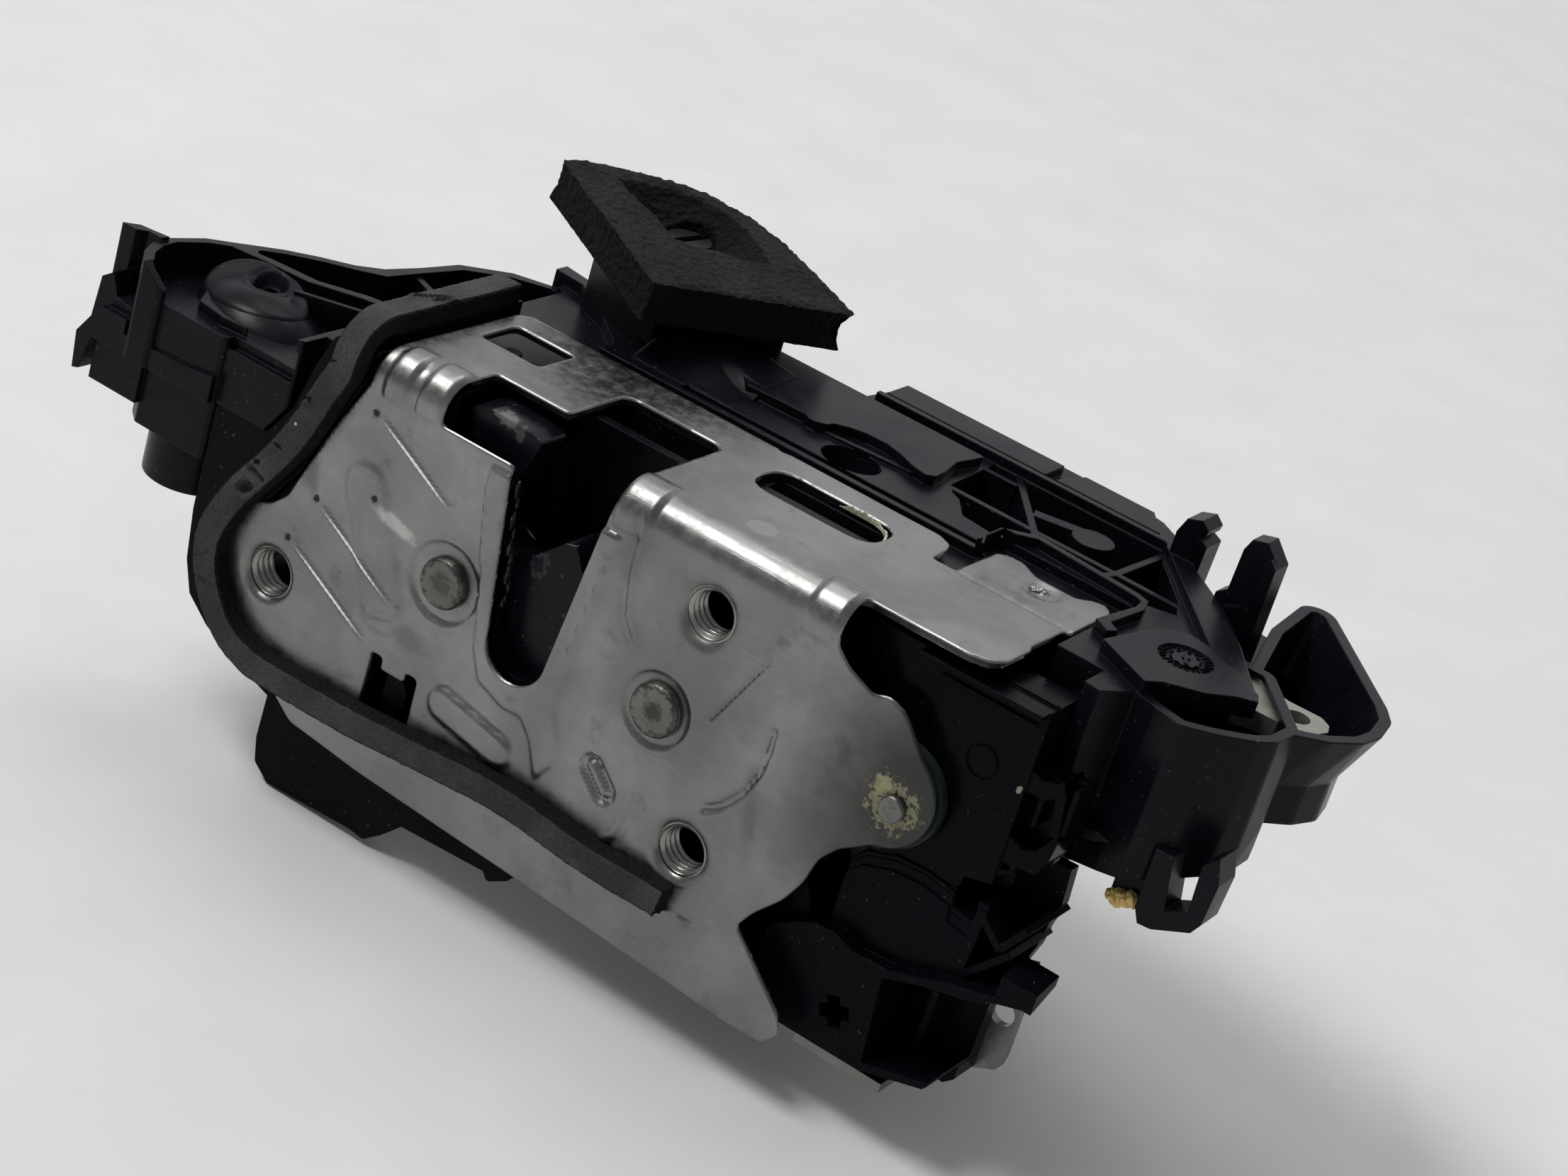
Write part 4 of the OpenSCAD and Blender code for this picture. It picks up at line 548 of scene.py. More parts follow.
throat = (
    arc((-28.7, -20.6), 5.5, 180, 360, 20)
    + [(-20, 5.6), (-19.5, BEND_Z + 2), (-19.2, fl(5)), (-19, fl(8)), (-19, fl(24.6)), (-20.4, fl(26)),
       (-36, fl(26)), (-37.4, fl(24.6)), (-37.4, fl(11.2)), (-51.4, fl(11.2)), (-51.4, 5.6), (-37.6, 5.6)]
)
cuts = [
    rounded(throat, 0.9),
    rounded([(-61.5, fl(20)), (-50.2, fl(20)), (-50.2, fl(29.3)), (-61.5, fl(29.3))], 1.2),
    rounded([(-10.8, fl(19.8)), (11.2, fl(19.8)), (11.2, fl(29.1)), (-10.8, fl(29.1))], 4.2),
    rounded([(-53.4, -44.5), (-53.4, -34), (-51.2, -34), (-51.2, -36), (-46.5, -36), (-46.5, -34.3),
             (-44.3, -34.3), (-44.1, -44.5)], 0.7),
] + [round_hole(h, BORE_R) for h in HOLES]
THROAT_RIM = [(-41, 0.6), (-39.6, -6), (-37.6, -13.7), (-35.9, -24.1), (-33.7, -28.5), (-28.5, -30.4),
              (-25, -30.2), (-22.6, -32.6), (-19.9, -38), (-17.6, -34.6), (-17.6, -31), (-19.8, -25.9),
              (-18.4, -14), (-16.7, 0.2), (-16.9, 4), (-40.9, 4)]
BEADS = [(-62.4, -58.6), (-56.2, -51.9), (-18.9, -13.2), (14.6, 19.8)]


def relief(p):
    """Height in mm of the pressed forms over the plate, at developed places p (n, 2)."""
    u, v = p[:, 0], p[:, 1]
    h = np.zeros(len(p))
    for c, r in ((CATCH, 6.4), (PAWL, 5.8)):
        d = away(p, c)
        h -= 0.55 * fall(d, r - 0.3, r + 0.25)
        h += 0.16 * np.exp(-((d - r - 0.6) / 0.5) ** 2)
    for a, b, w, top in CREASES:
        d, _, t = seg_dist(p, a, b)
        h += top * fall(d, 0, w) * smooth(t, -0.02, 0.1) * fall(t, 0.9, 1.02)
    d = line_dist(p, THROAT_RIM + THROAT_RIM[:1])[0]
    h += 0.6 * smooth(np.where(inside(p, THROAT_RIM), d, -d), -0.35, 0.35)
    # broad finger beside the catch pivot, and the long pad under it
    h += 0.5 * fall(seg_dist(p, (-61.5, -9.6), (-53.2, -26.6))[0], 2.6, 4.8)
    h += 0.85 * fall(seg_dist(p, (-38.6, -35.3), (-27.4, -37.4))[0], 1.9, 3.2)
    # small oblong with a raised middle
    d = seg_dist(p, (-11.2, -31.4), (-8.2, -34.2))[0]
    h += -0.75 * fall(d, 1.7, 2.25) + 0.9 * fall(d, 0.6, 1.1)
    # contour lines that leave a soft step
    for pts, top, w in (
        ([(-14.1, 10.7), (-14.1, 0.2), (-12.8, -6.7), (-9.3, -11.1)], 0.3, 0.8),
        ([(-7.2, -43.4), (-4.4, -40), (-3.2, -34), (-3, -27)], 0.26, 0.8),
        ([(-44, 4.4), (-44, -2), (-45.2, -5.4)], 0.2, 0.7),
        ([(-55.5, -28.6), (-51.4, -27.6), (-49.6, -24.8)], 0.24, 0.8),
    ):
        d, side, t = line_dist(p, pts)
        fade = smooth(t, 0, 0.12) * fall(t, 0.85, 1)
        h += top * side * (d / w) * np.exp(-((d / w) ** 2)) * fade * 2.5
    # arc beside the lower hole, cut in
    d, side, t = line_dist(p, [(15.2, -10.2), (15.4, -14), (15, -18.4), (13.4, -22.6), (10.8, -26),
                               (7.8, -28.2)])
    h -= 0.7 * fall(d, 0.3, 0.85) * smooth(t, 0, 0.06) * fall(t, 0.94, 1)
    h += 0.16 * np.exp(-(((d - 1.3) / 0.6) ** 2)) * (side > 0)
    # mouths drawn in round the threaded holes
    for c, depth, r in ((HOLES[0], 0.9, 5.6), (HOLES[1], 1.0, 6.6), (HOLES[2], 0.9, 6.0)):
        h -= depth * (1 - np.clip((away(p, c) - BORE_R) / (r - BORE_R), 0, 1)) ** 2.2
    # beads that stiffen the bend
    over = smooth(v, BEND_Z - 2.6, BEND_Z - 0.6) * fall(v, fl(5) + 0.2, fl(5) + 2.4)
    for a, b in BEADS:
        h += 0.6 * smooth(u, a - 0.4, a + 0.25) * fall(u, b - 0.25, b + 0.4) * over
    # tab: formed line, weld dimple
    h -= 0.25 * np.exp(-(((v - fl(26.5)) / 0.5) ** 2)) * (u > 22.6) * (u < 42.2)
    d = away(p, (33, fl(34.2)))
    h += -0.45 * fall(d, 2.2, 3.3) + 0.4 * fall(d, 0.3, 1.3)
    # pits where the creases were struck
    for c in PITS:
        h -= 0.45 * fall(away(p, c), 0.2, 0.8)
    # slow waviness of the sheet
    h += np.array([0.06 * wave(a * 0.07, b * 0.07, 3.1) + 0.02 * wave(a * 0.3, b * 0.3, 8.7) for a, b in p])
    return h


def step_back(u, v):
    """How far the face steps back towards the lobe."""
    s = np.clip((u - LOBE_FROM) / LOBE_RUN, 0, 1)
    return LOBE_BACK * (s * 0.86 + 0.14 * s * s * (3 - 2 * s)) * (v < LOBE_HIGH) * (v > LOBE_LOW)


def place(p, h):
    """Developed places and heights to the plate's own space."""
    u, v = p[:, 0], p[:, 1]
    th = np.clip((v - BEND_Z) / BEND_R, 0, pi / 2)
    y = BEND_R - (BEND_R + h) * np.cos(th) + np.clip(v - BEND_Z - ARC_LEN, 0, None)
    z = BEND_Z + (BEND_R + h) * np.sin(th) + np.clip(v - BEND_Z, None, 0)
    back = np.where(v < BEND_Z, step_back(u, v), 0)
    return np.stack([u, y + back, z], 1)


def sheet_mesh(outline, holes, step, rim):
    """Flat mesh of an outline with holes: square cells inside, fitted triangles along the edges."""
    loops = [resample(q, step) for q in [outline] + holes]
    big, small = loops[0], loops[1:]

    def clear(p):
        ok = inside(p, big)
        for q in small:
            ok &= ~inside(p, q)
        return ok

    def within(p, margin):
        return clear(p) & (loops_gap(p, loops) > margin)

    a = np.array(big)
    lo, hi = a.min(0), a.max(0)
    nx, ny = int((hi[0] - lo[0]) / step) + 2, int((hi[1] - lo[1]) / step) + 2
    gx, gy = lo[0] + np.arange(nx) * step, lo[1] + np.arange(ny) * step
    grid = np.stack(np.meshgrid(gx, gy, indexing="ij"), -1).reshape(-1, 2)
    good = within(grid, rim * 1.15).reshape(nx, ny)
    cell = good[:-1, :-1] & good[1:, :-1] & good[:-1, 1:] & good[1:, 1:]
    used = np.zeros((nx, ny), bool)
    for dx in (0, 1):
        for dy in (0, 1):
            used[dx:nx - 1 + dx, dy:ny - 1 + dy] |= cell
    index = -np.ones((nx, ny), int)
    index[used] = np.arange(used.sum())
    pts = [tuple(q) for q in grid.reshape(nx, ny, 2)[used]]
    faces = [(index[i, j], index[i + 1, j], index[i + 1, j + 1], index[i, j + 1])
             for i, j in zip(*np.nonzero(cell))]
    # places used but not surrounded, and the sides between them
    full = np.zeros((nx, ny), bool)
    full[1:-1, 1:-1] = cell[:-1, :-1] & cell[1:, :-1] & cell[:-1, 1:] & cell[1:, 1:]
    ids = list(index[used & ~full])
    local = {g: k for k, g in enumerate(ids)}
    cv = [pts[g] for g in ids]
    ce = []
    for i, j in zip(*np.nonzero(used)):
        for di, dj in ((1, 0), (0, 1)):
            if i + di < nx and j + dj < ny and used[i + di, j + dj]:
                sides = ((i, j - 1), (i, j)) if di else ((i - 1, j), (i, j))
                n = sum(0 <= a < nx - 1 and 0 <= b < ny - 1 and cell[a, b] for a, b in sides)
                if n == 1:
                    ce.append((local[index[i, j]], local[index[i + di, j + dj]]))
    base = len(cv)
    ring_points = []
    for q in loops:
        ce += [(len(cv) + k, len(cv) + (k + 1) % len(q)) for k in range(len(q))]
        cv += q
        qa = np.array(q)
        t = np.roll(qa, -1, 0) - np.roll(qa, 1, 0)
        t /= np.maximum(np.hypot(t[:, 0], t[:, 1]), 1e-9)[:, None]
        for depth in (rim * 0.35, rim * 0.9):
            for sign in (1, -1):
                ring_points.append(qa + sign * depth * np.stack([-t[:, 1], t[:, 0]], 1))
    extra = np.concatenate(ring_points)
    extra = extra[within(extra, rim * 0.3)]
    cv += [tuple(q) for q in extra]
    vs, _, tris, origin, *_ = delaunay_2d_cdt([Vector(q) for q in cv], ce, [], 0, 1e-5)
    remap = []
    for k, q in enumerate(vs):
        src = [o for o in origin[k] if o < base]
        if src:
            remap.append(ids[src[0]])
        else:
            remap.append(len(pts))
            pts.append((q.x, q.y))
    mids = np.array([[sum(vs[i].x for i in f) / 3, sum(vs[i].y for i in f) / 3] for f in tris])
    ci, cj = ((mids - lo) / step).astype(int).T
    inrange = (ci >= 0) & (ci < nx - 1) & (cj >= 0) & (cj < ny - 1)
    taken = np.zeros(len(mids), bool)
    taken[inrange] = cell[ci[inrange], cj[inrange]]
    for f, good_face in zip(tris, clear(mids) & ~taken):
        if good_face:
            a, b, c = (remap[i] for i in f)
            pa, pb, pc = pts[a], pts[b], pts[c]
            turn = (pb[0] - pa[0]) * (pc[1] - pa[1]) - (pb[1] - pa[1]) * (pc[0] - pa[0])
            if abs(turn) > 1e-9:
                faces.append((a, b, c) if turn > 0 else (a, c, b))
    return np.array(pts), faces, loops


def plate():
    """The folded sheet with its pressed relief and broken edges, thick to the back."""
    rim = EDGE_BREAK
    pts, faces, loops = sheet_mesh(rounded(outer, 0.8), cuts, 0.5, rim)
    h = relief(pts)
    edge = np.clip(loops_gap(pts, loops), 0, rim)
    h -= rim - np.sqrt(np.maximum(rim ** 2 - (rim - edge) ** 2, 0))
    o = piece("face_plate", place(pts, h), faces, FACE_STEEL)
    s = o.modifiers.new("thick", "SOLIDIFY")
    s.thickness = THICK * MM
    s.offset = -1
    s.use_even_offset = False
    solid = bpy.data.meshes.new_from_object(o.evaluated_get(bpy.context.evaluated_depsgraph_get()))
    o.modifiers.clear()
    o.data = solid
    return split_sharp(o, 48)


def thread_tube(name, c, y0, y1, r_out, minor=3.3, major=3.98, pitch=1.25, seg=72, rows=58):
    """Drawn collar with a rolled thread inside."""
    verts = []
    for j in range(rows + 1):
        y = y0 + (y1 - y0) * j / rows
        for i in range(seg):
            a = 2 * pi * i / seg
            turn = abs(((y - y0) / pitch - i / seg) % 1 * 2 - 1)
            groove = min(1, max(0, (turn - 0.12) / 0.76))
            ends = min(1, (y - y0) / 0.5, (y1 - y) / 0.5)
            r = major - (major - minor) * groove * ends
            verts.append((c[0] + r * cos(a), y, c[1] + r * sin(a)))
    for y, r in ((y1, r_out - 0.4), (y1 - 0.4, r_out), (y0 + 0.6, r_out)):
        verts += ring(c, r, y, seg)
    split_sharp(piece(name, verts, ring_faces(rows + 4, seg, True), THREAD_STEEL), 50)


plate_piece = plate()
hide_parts("latch_plate")
for k, c in enumerate(HOLES):
    thread_tube(f"thread_{k + 1}", c, 0.75, 6.05, 5.8)


# ---------- foam pad and seal
def grain(p, size, seed):
    """Noise value at each place of p (n, 3), with waves about size mm long."""
    return np.array([noise.noise(Vector(q) / size + Vector((seed, seed * 1.7, -seed))) for q in p])


def block(pts, faces, top, low, pull, rows):
    """Places, lids and walls of a solid between two height fields over a flat mesh; pull moves walls."""
    n = len(pts)
    edges = {(a, b) for f in faces for a, b in zip(f, f[1:] + f[:1])}
    rim = sorted(e for e in edges if e[::-1] not in edges)
    normal = np.zeros((n, 2))
    for a, b in rim:
        d = pts[b] - pts[a]
        d = np.array((d[1], -d[0])) / max(np.hypot(*d), 1e-9)
        normal[a] += d
        normal[b] += d
    border = sorted({i for e in rim for i in e})
    normal[border] /= np.maximum(np.hypot(*normal[border].T), 1e-9)[:, None]
    verts = [np.column_stack([pts, top]), np.column_stack([pts, low])]
    where = {i: k for k, i in enumerate(border)}
    levels = []
    for r in range(1, rows):
        t = r / rows
        q = pts[border] + normal[border] * pull(pts[border], t)[:, None]
        z = top[border] * (1 - t) + low[border] * t
        levels.append(2 * n + (r - 1) * len(border))
        verts.append(np.column_stack([q, z]))
    lids = [tuple(f) for f in faces] + [tuple(n + i for i in reversed(f)) for f in faces]
    side = []
    for a, b in rim:
        col_a = [a] + [lv + where[a] for lv in levels] + [n + a]
        col_b = [b] + [lv + where[b] for lv in levels] + [n + b]
        side += [(col_a[k], col_a[k + 1], col_b[k + 1], col_b[k]) for k in range(rows)]
    return np.concatenate(verts), lids, side


PAD_AT = Vector((-52.5, 62.1, 22.8))
PAD_TURN = (Matrix.Rotation(radians(-28.8), 3, "Z") @ Matrix.Rotation(radians(-4.3), 3, "X")
            @ Matrix.Rotation(radians(5.6), 3, "Y"))
PAD_HALF, PAD_HOLLOW_DEPTH = 3.6, 4.8
PAD_EDGE = [(-19.4, -18.8), (19, -18.6), (19.4, 18.6), (14.6, 17.9), (7.2, 17.1), (-1.4, 15.9), (-9.8, 12.8),
            (-15.9, 7.5), (-18.8, 2), (-20.2, -8.3), (-20.7, -14.5)]
PAD_HOLLOW = [(-15.6, -10.2), (-7, -9), (-2.4, -7.9), (2.6, -8.4), (4.3, -5.3), (4.8, -0.8), (7, 3.4),
              (6.8, 9), (-3.2, 9.8), (-7.6, 8.9), (-12.4, 5.7), (-16, 0.7)]
HUB_HOLE, HUB_HOLE_R = (-6.2, 0.9), 4.4


def foam_pad():
    """Cut foam with a hollow round the key hub; its walls pull in between its faces."""
    pts, faces, loops = sheet_mesh(rounded(PAD_EDGE, 0.9), [round_hole(HUB_HOLE, HUB_HOLE_R)], 0.42, 0.3)
    near, far, end = (line_dist(pts, q)[0] for q in (
        PAD_HOLLOW[:7], PAD_HOLLOW[7:] + PAD_HOLLOW[:1], PAD_HOLLOW[5:8]))
    inner = inside(pts, PAD_HOLLOW)
    d_hole = np.maximum(away(pts, HUB_HOLE) - HUB_HOLE_R, 0)
    depth = np.minimum(np.minimum(np.clip(far / 5.2, 0, 1), smooth(near, -0.3, 1.3)), smooth(end, -1, 8))
    depth = PAD_HOLLOW_DEPTH * depth
    depth = np.where(inner, depth - 0.6 * np.exp(-((d_hole - 0.35) / 0.3) ** 2), 0)
    rim = line_dist(pts, loops[0] + loops[0][:1])[0]
    at3 = np.column_stack([pts, np.zeros(len(pts))])
    top = PAD_HALF - depth + 0.16 * grain(at3, 9, 2) - 0.35 * fall(rim, 0, 0.8)
    top += 0.32 * grain(at3, 1.1, 5) + 0.16 * grain(at3, 0.55, 9)
    low = -PAD_HALF + 0.12 * grain(at3, 0.9, 15) + 0.25 * fall(rim, 0, 0.6)

    def pull(q, t):
        out = away(q, HUB_HOLE) > 6
        deep = 0.45 + 1.1 * smooth(q[:, 0], 14, 19) * smooth(q[:, 1], 14, 18)
        ragged = 0.34 * grain(np.column_stack([q, np.full(len(q), t * 7)]), 1.0, 21)
        return np.where(out, -deep * np.sin(pi * t) + ragged, 0.0)

    verts, flat, side = block(pts, faces, top, low, pull, 14)
    space = [PAD_TURN @ Vector(v) + PAD_AT for v in verts]
    o = piece("foam_cushion", space, flat + side, PAD)
    # the hollow's floor takes the darker foam as painted shade, the side walls take it as cut foam
    o.data.materials.append(PAD_SIDES_AND_HOLLOW_SHADE)
    dark = [bool(inner[list(f)].all()) for f in faces] + [False] * len(faces) + [True] * len(side)
    for f, k in zip(o.data.polygons, dark):
        f.material_index = int(k)
    return split_sharp(o, 80)


SHELF_R, SHELF_Z = 4.8, 8.0
SEAL_W, SEAL_TOP = 5.0, 3.0
SEAL_PATH = [(7.2, -43.9), (4.8, -43.8), (-7.9, -43.9), (-22.6, -42.8), (-37.3, -43.8), (-51.8, -45.1),
             (-66.7, -45.6), (-73.2, -45.4), (-78.6, -43.4), (-82.6, -39.6), (-85.3, -34.6), (-86, -29.6),
             (-84.6, -24.6), (-82, -19.4), (-76.8, -11.4), (-73.4, -4.4), (-70.8, 2.6), (-69.2, 6.4),
             (-68.8, 9), (-68.8, 14), (-68.8, 46.3)]


def seal_place(u, v, h):
    """From the strip's flat course, bent over the shelf, to the object's space."""
    bend = np.clip((v - SHELF_Z) / SHELF_R, 0, pi / 2)
    y = SHELF_R - (SHELF_R + h) * np.cos(bend) + np.clip(v - SHELF_Z - SHELF_R * pi / 2, 0, None)
    z = SHELF_Z + (SHELF_R + h) * np.sin(bend) + np.clip(v - SHELF_Z, None, 0)
    return np.stack([u, y, z], -1)


def course(pts, step):
    """Even places along a Catmull-Rom curve through pts, their run in mm and the way across it."""
    p = np.array([pts[0]] + list(pts) + [pts[-1]], float)
    out = []
    for i in range(1, len(p) - 2):
        for k in range(12):
            s = k / 12
            out.append(0.5 * (2 * p[i] + (p[i + 1] - p[i - 1]) * s
                              + (2 * p[i - 1] - 5 * p[i] + 4 * p[i + 1] - p[i + 2]) * s * s
                              + (3 * p[i] - p[i - 1] - 3 * p[i + 1] + p[i + 2]) * s ** 3))
    out.append(p[-1])
    out = np.array(out)
    run = np.concatenate([[0], np.cumsum(np.hypot(*np.diff(out, axis=0).T))])
    at = np.linspace(0, run[-1], int(run[-1] / step) + 1)
    mid = np.stack([np.interp(at, run, out[:, k]) for k in (0, 1)], 1)
    t = np.gradient(mid, axis=0)
    t /= np.hypot(*t.T)[:, None]
    return mid, at, np.stack([-t[:, 1], t[:, 0]], 1)


SEAL_TEARS = [  # place in the strip's flat course, half length and direction, half width, depth
    ((-74.7, -0.2), 1.5, 12, 0.28, 1.3), ((-79.6, -15.6), 1.2, -20, 0.5, 0.9),
    ((-81.1, -18.6), 0.6, 40, 0.75, 1.4), ((-68.9, 26.4), 3.2, 62, 0.3, 1.1),
    ((-67.4, 27.4), 2.0, 75, 0.22, 0.7), ((-85.4, -36.8), 2.4, 8, 0.14, 0.3),
    ((-71.4, 24.4), 1.0, 30, 0.2, 0.4),
]


def seal_strip():
    """Foam seal laid round the face and over the shelf: skinned top, open cut sides, torn places."""
    mid, at, across = course(SEAL_PATH, 0.4)
    half = SEAL_W / 2
    profile = [(-half, 0), (-half - 0.02, 0.5), (-half + 0.02, 1.0), (-half + 0.1, 1.5), (-half + 0.06, 2.0),
               (-half, 2.45), (-half + 0.08, 2.75), (-half + 0.34, 2.93)]
    profile += [(x, SEAL_TOP - 0.06 * abs(x) / half) for x in np.linspace(-half + 0.7, half - 0.7, 11)]
    profile += [(-x, z) for x, z in profile[7::-1]]
    rows = []
    for x, z in profile:
        sway = 0.14 * np.array([wave(a * 0.12, 3.3 if x > 0 else 9.1, 0) for a in at])
        q = mid + across * (x + (sway * abs(x) / half))[:, None]
        rough = grain(np.column_stack([q, np.full(len(q), z)]), 0.8, 31)
        q = q + across * (0.1 * rough * (abs(x) > half * 0.8) * (z > 0))[:, None]
        h = np.full(len(q), z)
        if z > 2.4:
            h = h + 0.045 * rough + 0.1 * grain(np.column_stack([q, np.zeros(len(q))]), 7, 41)
            for c, half_length, turn, width, deep in SEAL_TEARS:
                way = np.array(toward(turn)) * half_length
                far = seg_dist(q, c - way, c + way)[0] + 0.18 * rough
                h = h - deep * fall(far, width * 0.4, width * 1.3)
                h = h + 0.3 * deep * np.exp(-((far - width * 1.9) / 0.25) ** 2)
        rows.append(seal_place(q[:, 0], q[:, 1], h))
    grid = np.stack(rows, 1)
    n, m = grid.shape[:2]
    ends = [np.array([wave(k * 0.9, seed, 4.2) for k in range(m)]) * 0.5 for seed in (0, 7)]
    grid[0, :, 0] += ends[0]
    grid[-1, :, 1] += ends[1] - 0.6
    faces, skin = [], []
    for i in range(n - 1):
        for j in range(m - 1):
            faces.append((i * m + j, (i + 1) * m + j, (i + 1) * m + j + 1, i * m + j + 1))
            skin.append(0 if 7 <= j < m - 8 else 1)
        faces.append((i * m, i * m + m - 1, (i + 1) * m + m - 1, (i + 1) * m))
        skin.append(1)
    faces += [tuple(range(m)), tuple((n - 1) * m + j for j in reversed(range(m)))]
    skin += [1, 1]
    o = piece("seal_foam", grid.reshape(-1, 3), faces, SEAL)
    o.data.materials.append(SEAL_CUT)
    for f, k in zip(o.data.polygons, skin):
        f.material_index = k
    return outward(o, 50)


pad_piece = foam_pad()
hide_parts("foam_pad")
seal_piece = seal_strip()
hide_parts("seal_strip")


# ---------- mouldings, rivets, dirt
def mound(name, outline, holes, step, height, floor_z, m):
    """A solid over an outline in X and Y, its top given by height(pts, distance to the edge)."""
    pts, faces, loops = sheet_mesh(outline, holes, step, step * 0.8)
    top = height(pts, line_dist(pts, loops[0] + loops[0][:1])[0])
    low = np.full(len(pts), floor_z)
    verts, flat, side = block(pts, faces, top, low, lambda q, _: np.zeros(len(q)), 2)
    split_sharp(piece(name, verts, flat + side, m), 42)


DOME_AT = (-98.6, 15.3)
DOME_EDGE = [(-98.6 + 9.6 * u, 12.3 + 6.6 * v) for u, v in map(toward, range(0, 360, 5))]
DOME_BREAK, HUMP_BREAK = 1.1, 2.2
HUMP_LEFT, DECK_LOW, DECK_STEP, HUMP_TOP = -47.4, 12.08, 1.6, 15.4


def broken(edge, r):
    """How far a top falls off towards its edge, rounded by r."""
    return r - np.sqrt(np.maximum(r ** 2 - (r - np.clip(edge, 0, r)) ** 2, 0))


def dome_height(p, edge):
    """A disc that leans to the front, on the shell's own swelling, with a sunk screw hole."""
    x, y = p[:, 0], p[:, 1]
    lean = np.minimum(-15 - 0.1145 * x + 0.546 * y, 6.5)
    swell = -3.35 + 8 * np.sqrt(np.maximum(1 - ((x + 97) / 13) ** 2 - ((y - 12.2) / 9) ** 2, 0))
    z = 0.5 * (lean + swell + np.sqrt((lean - swell) ** 2 + 0.5))
    d = away(p, DOME_AT)
    z = z - 0.3 * fall(d, 2.9, 4.4) - 2.0 * fall(d, 1.8, 2.85)
    return z - broken(edge, DOME_BREAK)


mound("dish_dome", DOME_EDGE, [round_hole(DOME_AT, 1.75)], 0.3, dome_height, 0.45, SHELL)


def hump_height(p, _):
    """The rounded end of the deck, run out into the deck's two levels."""
    x, y = p[:, 0], p[:, 1]
    step = 51 - 0.25 * (x + 44)
    z = DECK_LOW + DECK_STEP * smooth(y - step, -1.5, 1.5)
    rise = HUMP_TOP - 3.2 * fall(y, 37.6, 50)
    z = z + np.maximum(rise - z, 0) * fall(x, -42, -28)
    z = z - 0.9 * broken(x - HUMP_LEFT, HUMP_BREAK)
    d = away(p, (-39.9, 52.3))
    return z + 0.22 * np.exp(-((d - 2.0) / 0.45) ** 2) - 0.45 * fall(d, 0.7, 1.6)


HUMP_EDGE = [(-47.3, 38.5), (-35.6, 38.5), (-35.2, 39.4), (-27.2, 39.4), (-27.2, 58), (-40.6, 58.4),
             (-47.3, 46.4)]
mound("deck_hump", HUMP_EDGE, [], 0.45, hump_height, 11.4, SHELL)


def rivet_head(name, c, r, y, out, seed):
    """Orbitally formed head: a flat crown with rough rings and a soft rim."""
    rings, seg = 22, 72
    verts = []
    for j in range(rings + 1):
        q = j / rings
        for i in range(seg):
            a = 2 * pi * i / seg
            x, z = r * q * cos(a), r * q * sin(a)
            n = wave(x * 1.3, z * 1.3, seed) + 0.5 * wave(x * 3.1, z * 3.1, seed + 4)
            crown = 0.16 * (1 - q * q) + 0.07 * cos(q * 15) * (1 - q) + 0.15 * n * (1 - 0.5 * q)
            crown += 0.22 * exp(-((q - 0.2) / 0.13) ** 2)
            drop = 0.75 * max(0, (q - 0.86) / 0.14) ** 2.2
            verts.append((c[0] + x, y - out * (crown + 0.35) + drop, c[1] + z))
    back = len(verts)
    verts += ring(c, r * 0.99, y + 0.9, seg)
    faces = ring_faces(rings + 2, seg) + [tuple(back + i for i in range(seg))]
    outward(piece(name, verts, faces, RIVET_STEEL), 60, weld=True)


rivet_head("head_catch_pivot", CATCH, 4.1, -0.7, 0.8, 1.0)
rivet_head("head_pawl_pivot", PAWL, 4.25, -0.7, 0.9, 5.0)
rivet_head("head_lobe_rivet", (34.5, -14.4), 2.1, 3.5, 0.8, 9.0)


def lumps(name, m, rows, rough, level):
    """Uneven balls with folds in one mesh; a row gives place and three half sizes in mm, seed, wave."""
    bm = bmesh.new()
    for at, size, seed, scale in rows:
        for v in bmesh.ops.create_icosphere(bm, subdivisions=level, radius=1.0)["verts"]:
            q = v.co.copy()
            n = noise.noise(q * scale + Vector((seed, 0, 0)))
            n += 0.45 * noise.noise(q * scale * 2.7 + Vector((0, seed, 0)))
            fold = -0.3 * exp(-((q.x * 0.8 + q.z * 0.6 + 0.15 * q.y) / 0.12) ** 2) if level > 3 else 0
            q *= 1 + rough * n + fold * rough * 3
            v.co = Vector((at[0] + q.x * size[0], at[1] + q.y * size[1], at[2] + q.z * size[2])) * MM
    me = bpy.data.meshes.new(name)
    bm.to_mesh(me)
    bm.free()
    return shown(name, me, m)


lump = lumps("yellow_lump", YELLOW, [((64.6, 20.2, -17.5), (1.9, 2.0, 1.35), 2.0, 1.3),
                                     ((66.4, 19.9, -16.9), (1.5, 1.8, 1.15), 6.0, 1.4)], 0.3, 5)
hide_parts("yellow_plug")

GREASE_AT = [  # place and size
    (-36.9, 1.9, 1.6, 0.55), (-36.7, 2.4, -0.8, 0.42), (-36.2, 1.6, -3.2, 0.5), (-35.8, 2.2, -5.4, 0.36),
    (-35.5, 1.8, -7.6, 0.62), (-35.1, 2.3, -9.6, 0.5), (-34.7, 1.7, -11.4, 0.66), (-34.3, 2.2, -13.6, 0.45),
    (-34.1, 1.6, -15.8, 0.38)]
lumps("grease_clumps", GREASE, [((x, y, z), (r * 0.62, r * 1.0, r * 2.5), k * 2.3, 1.6)
                                for k, (x, y, z, r) in enumerate(GREASE_AT)], 0.55, 3)


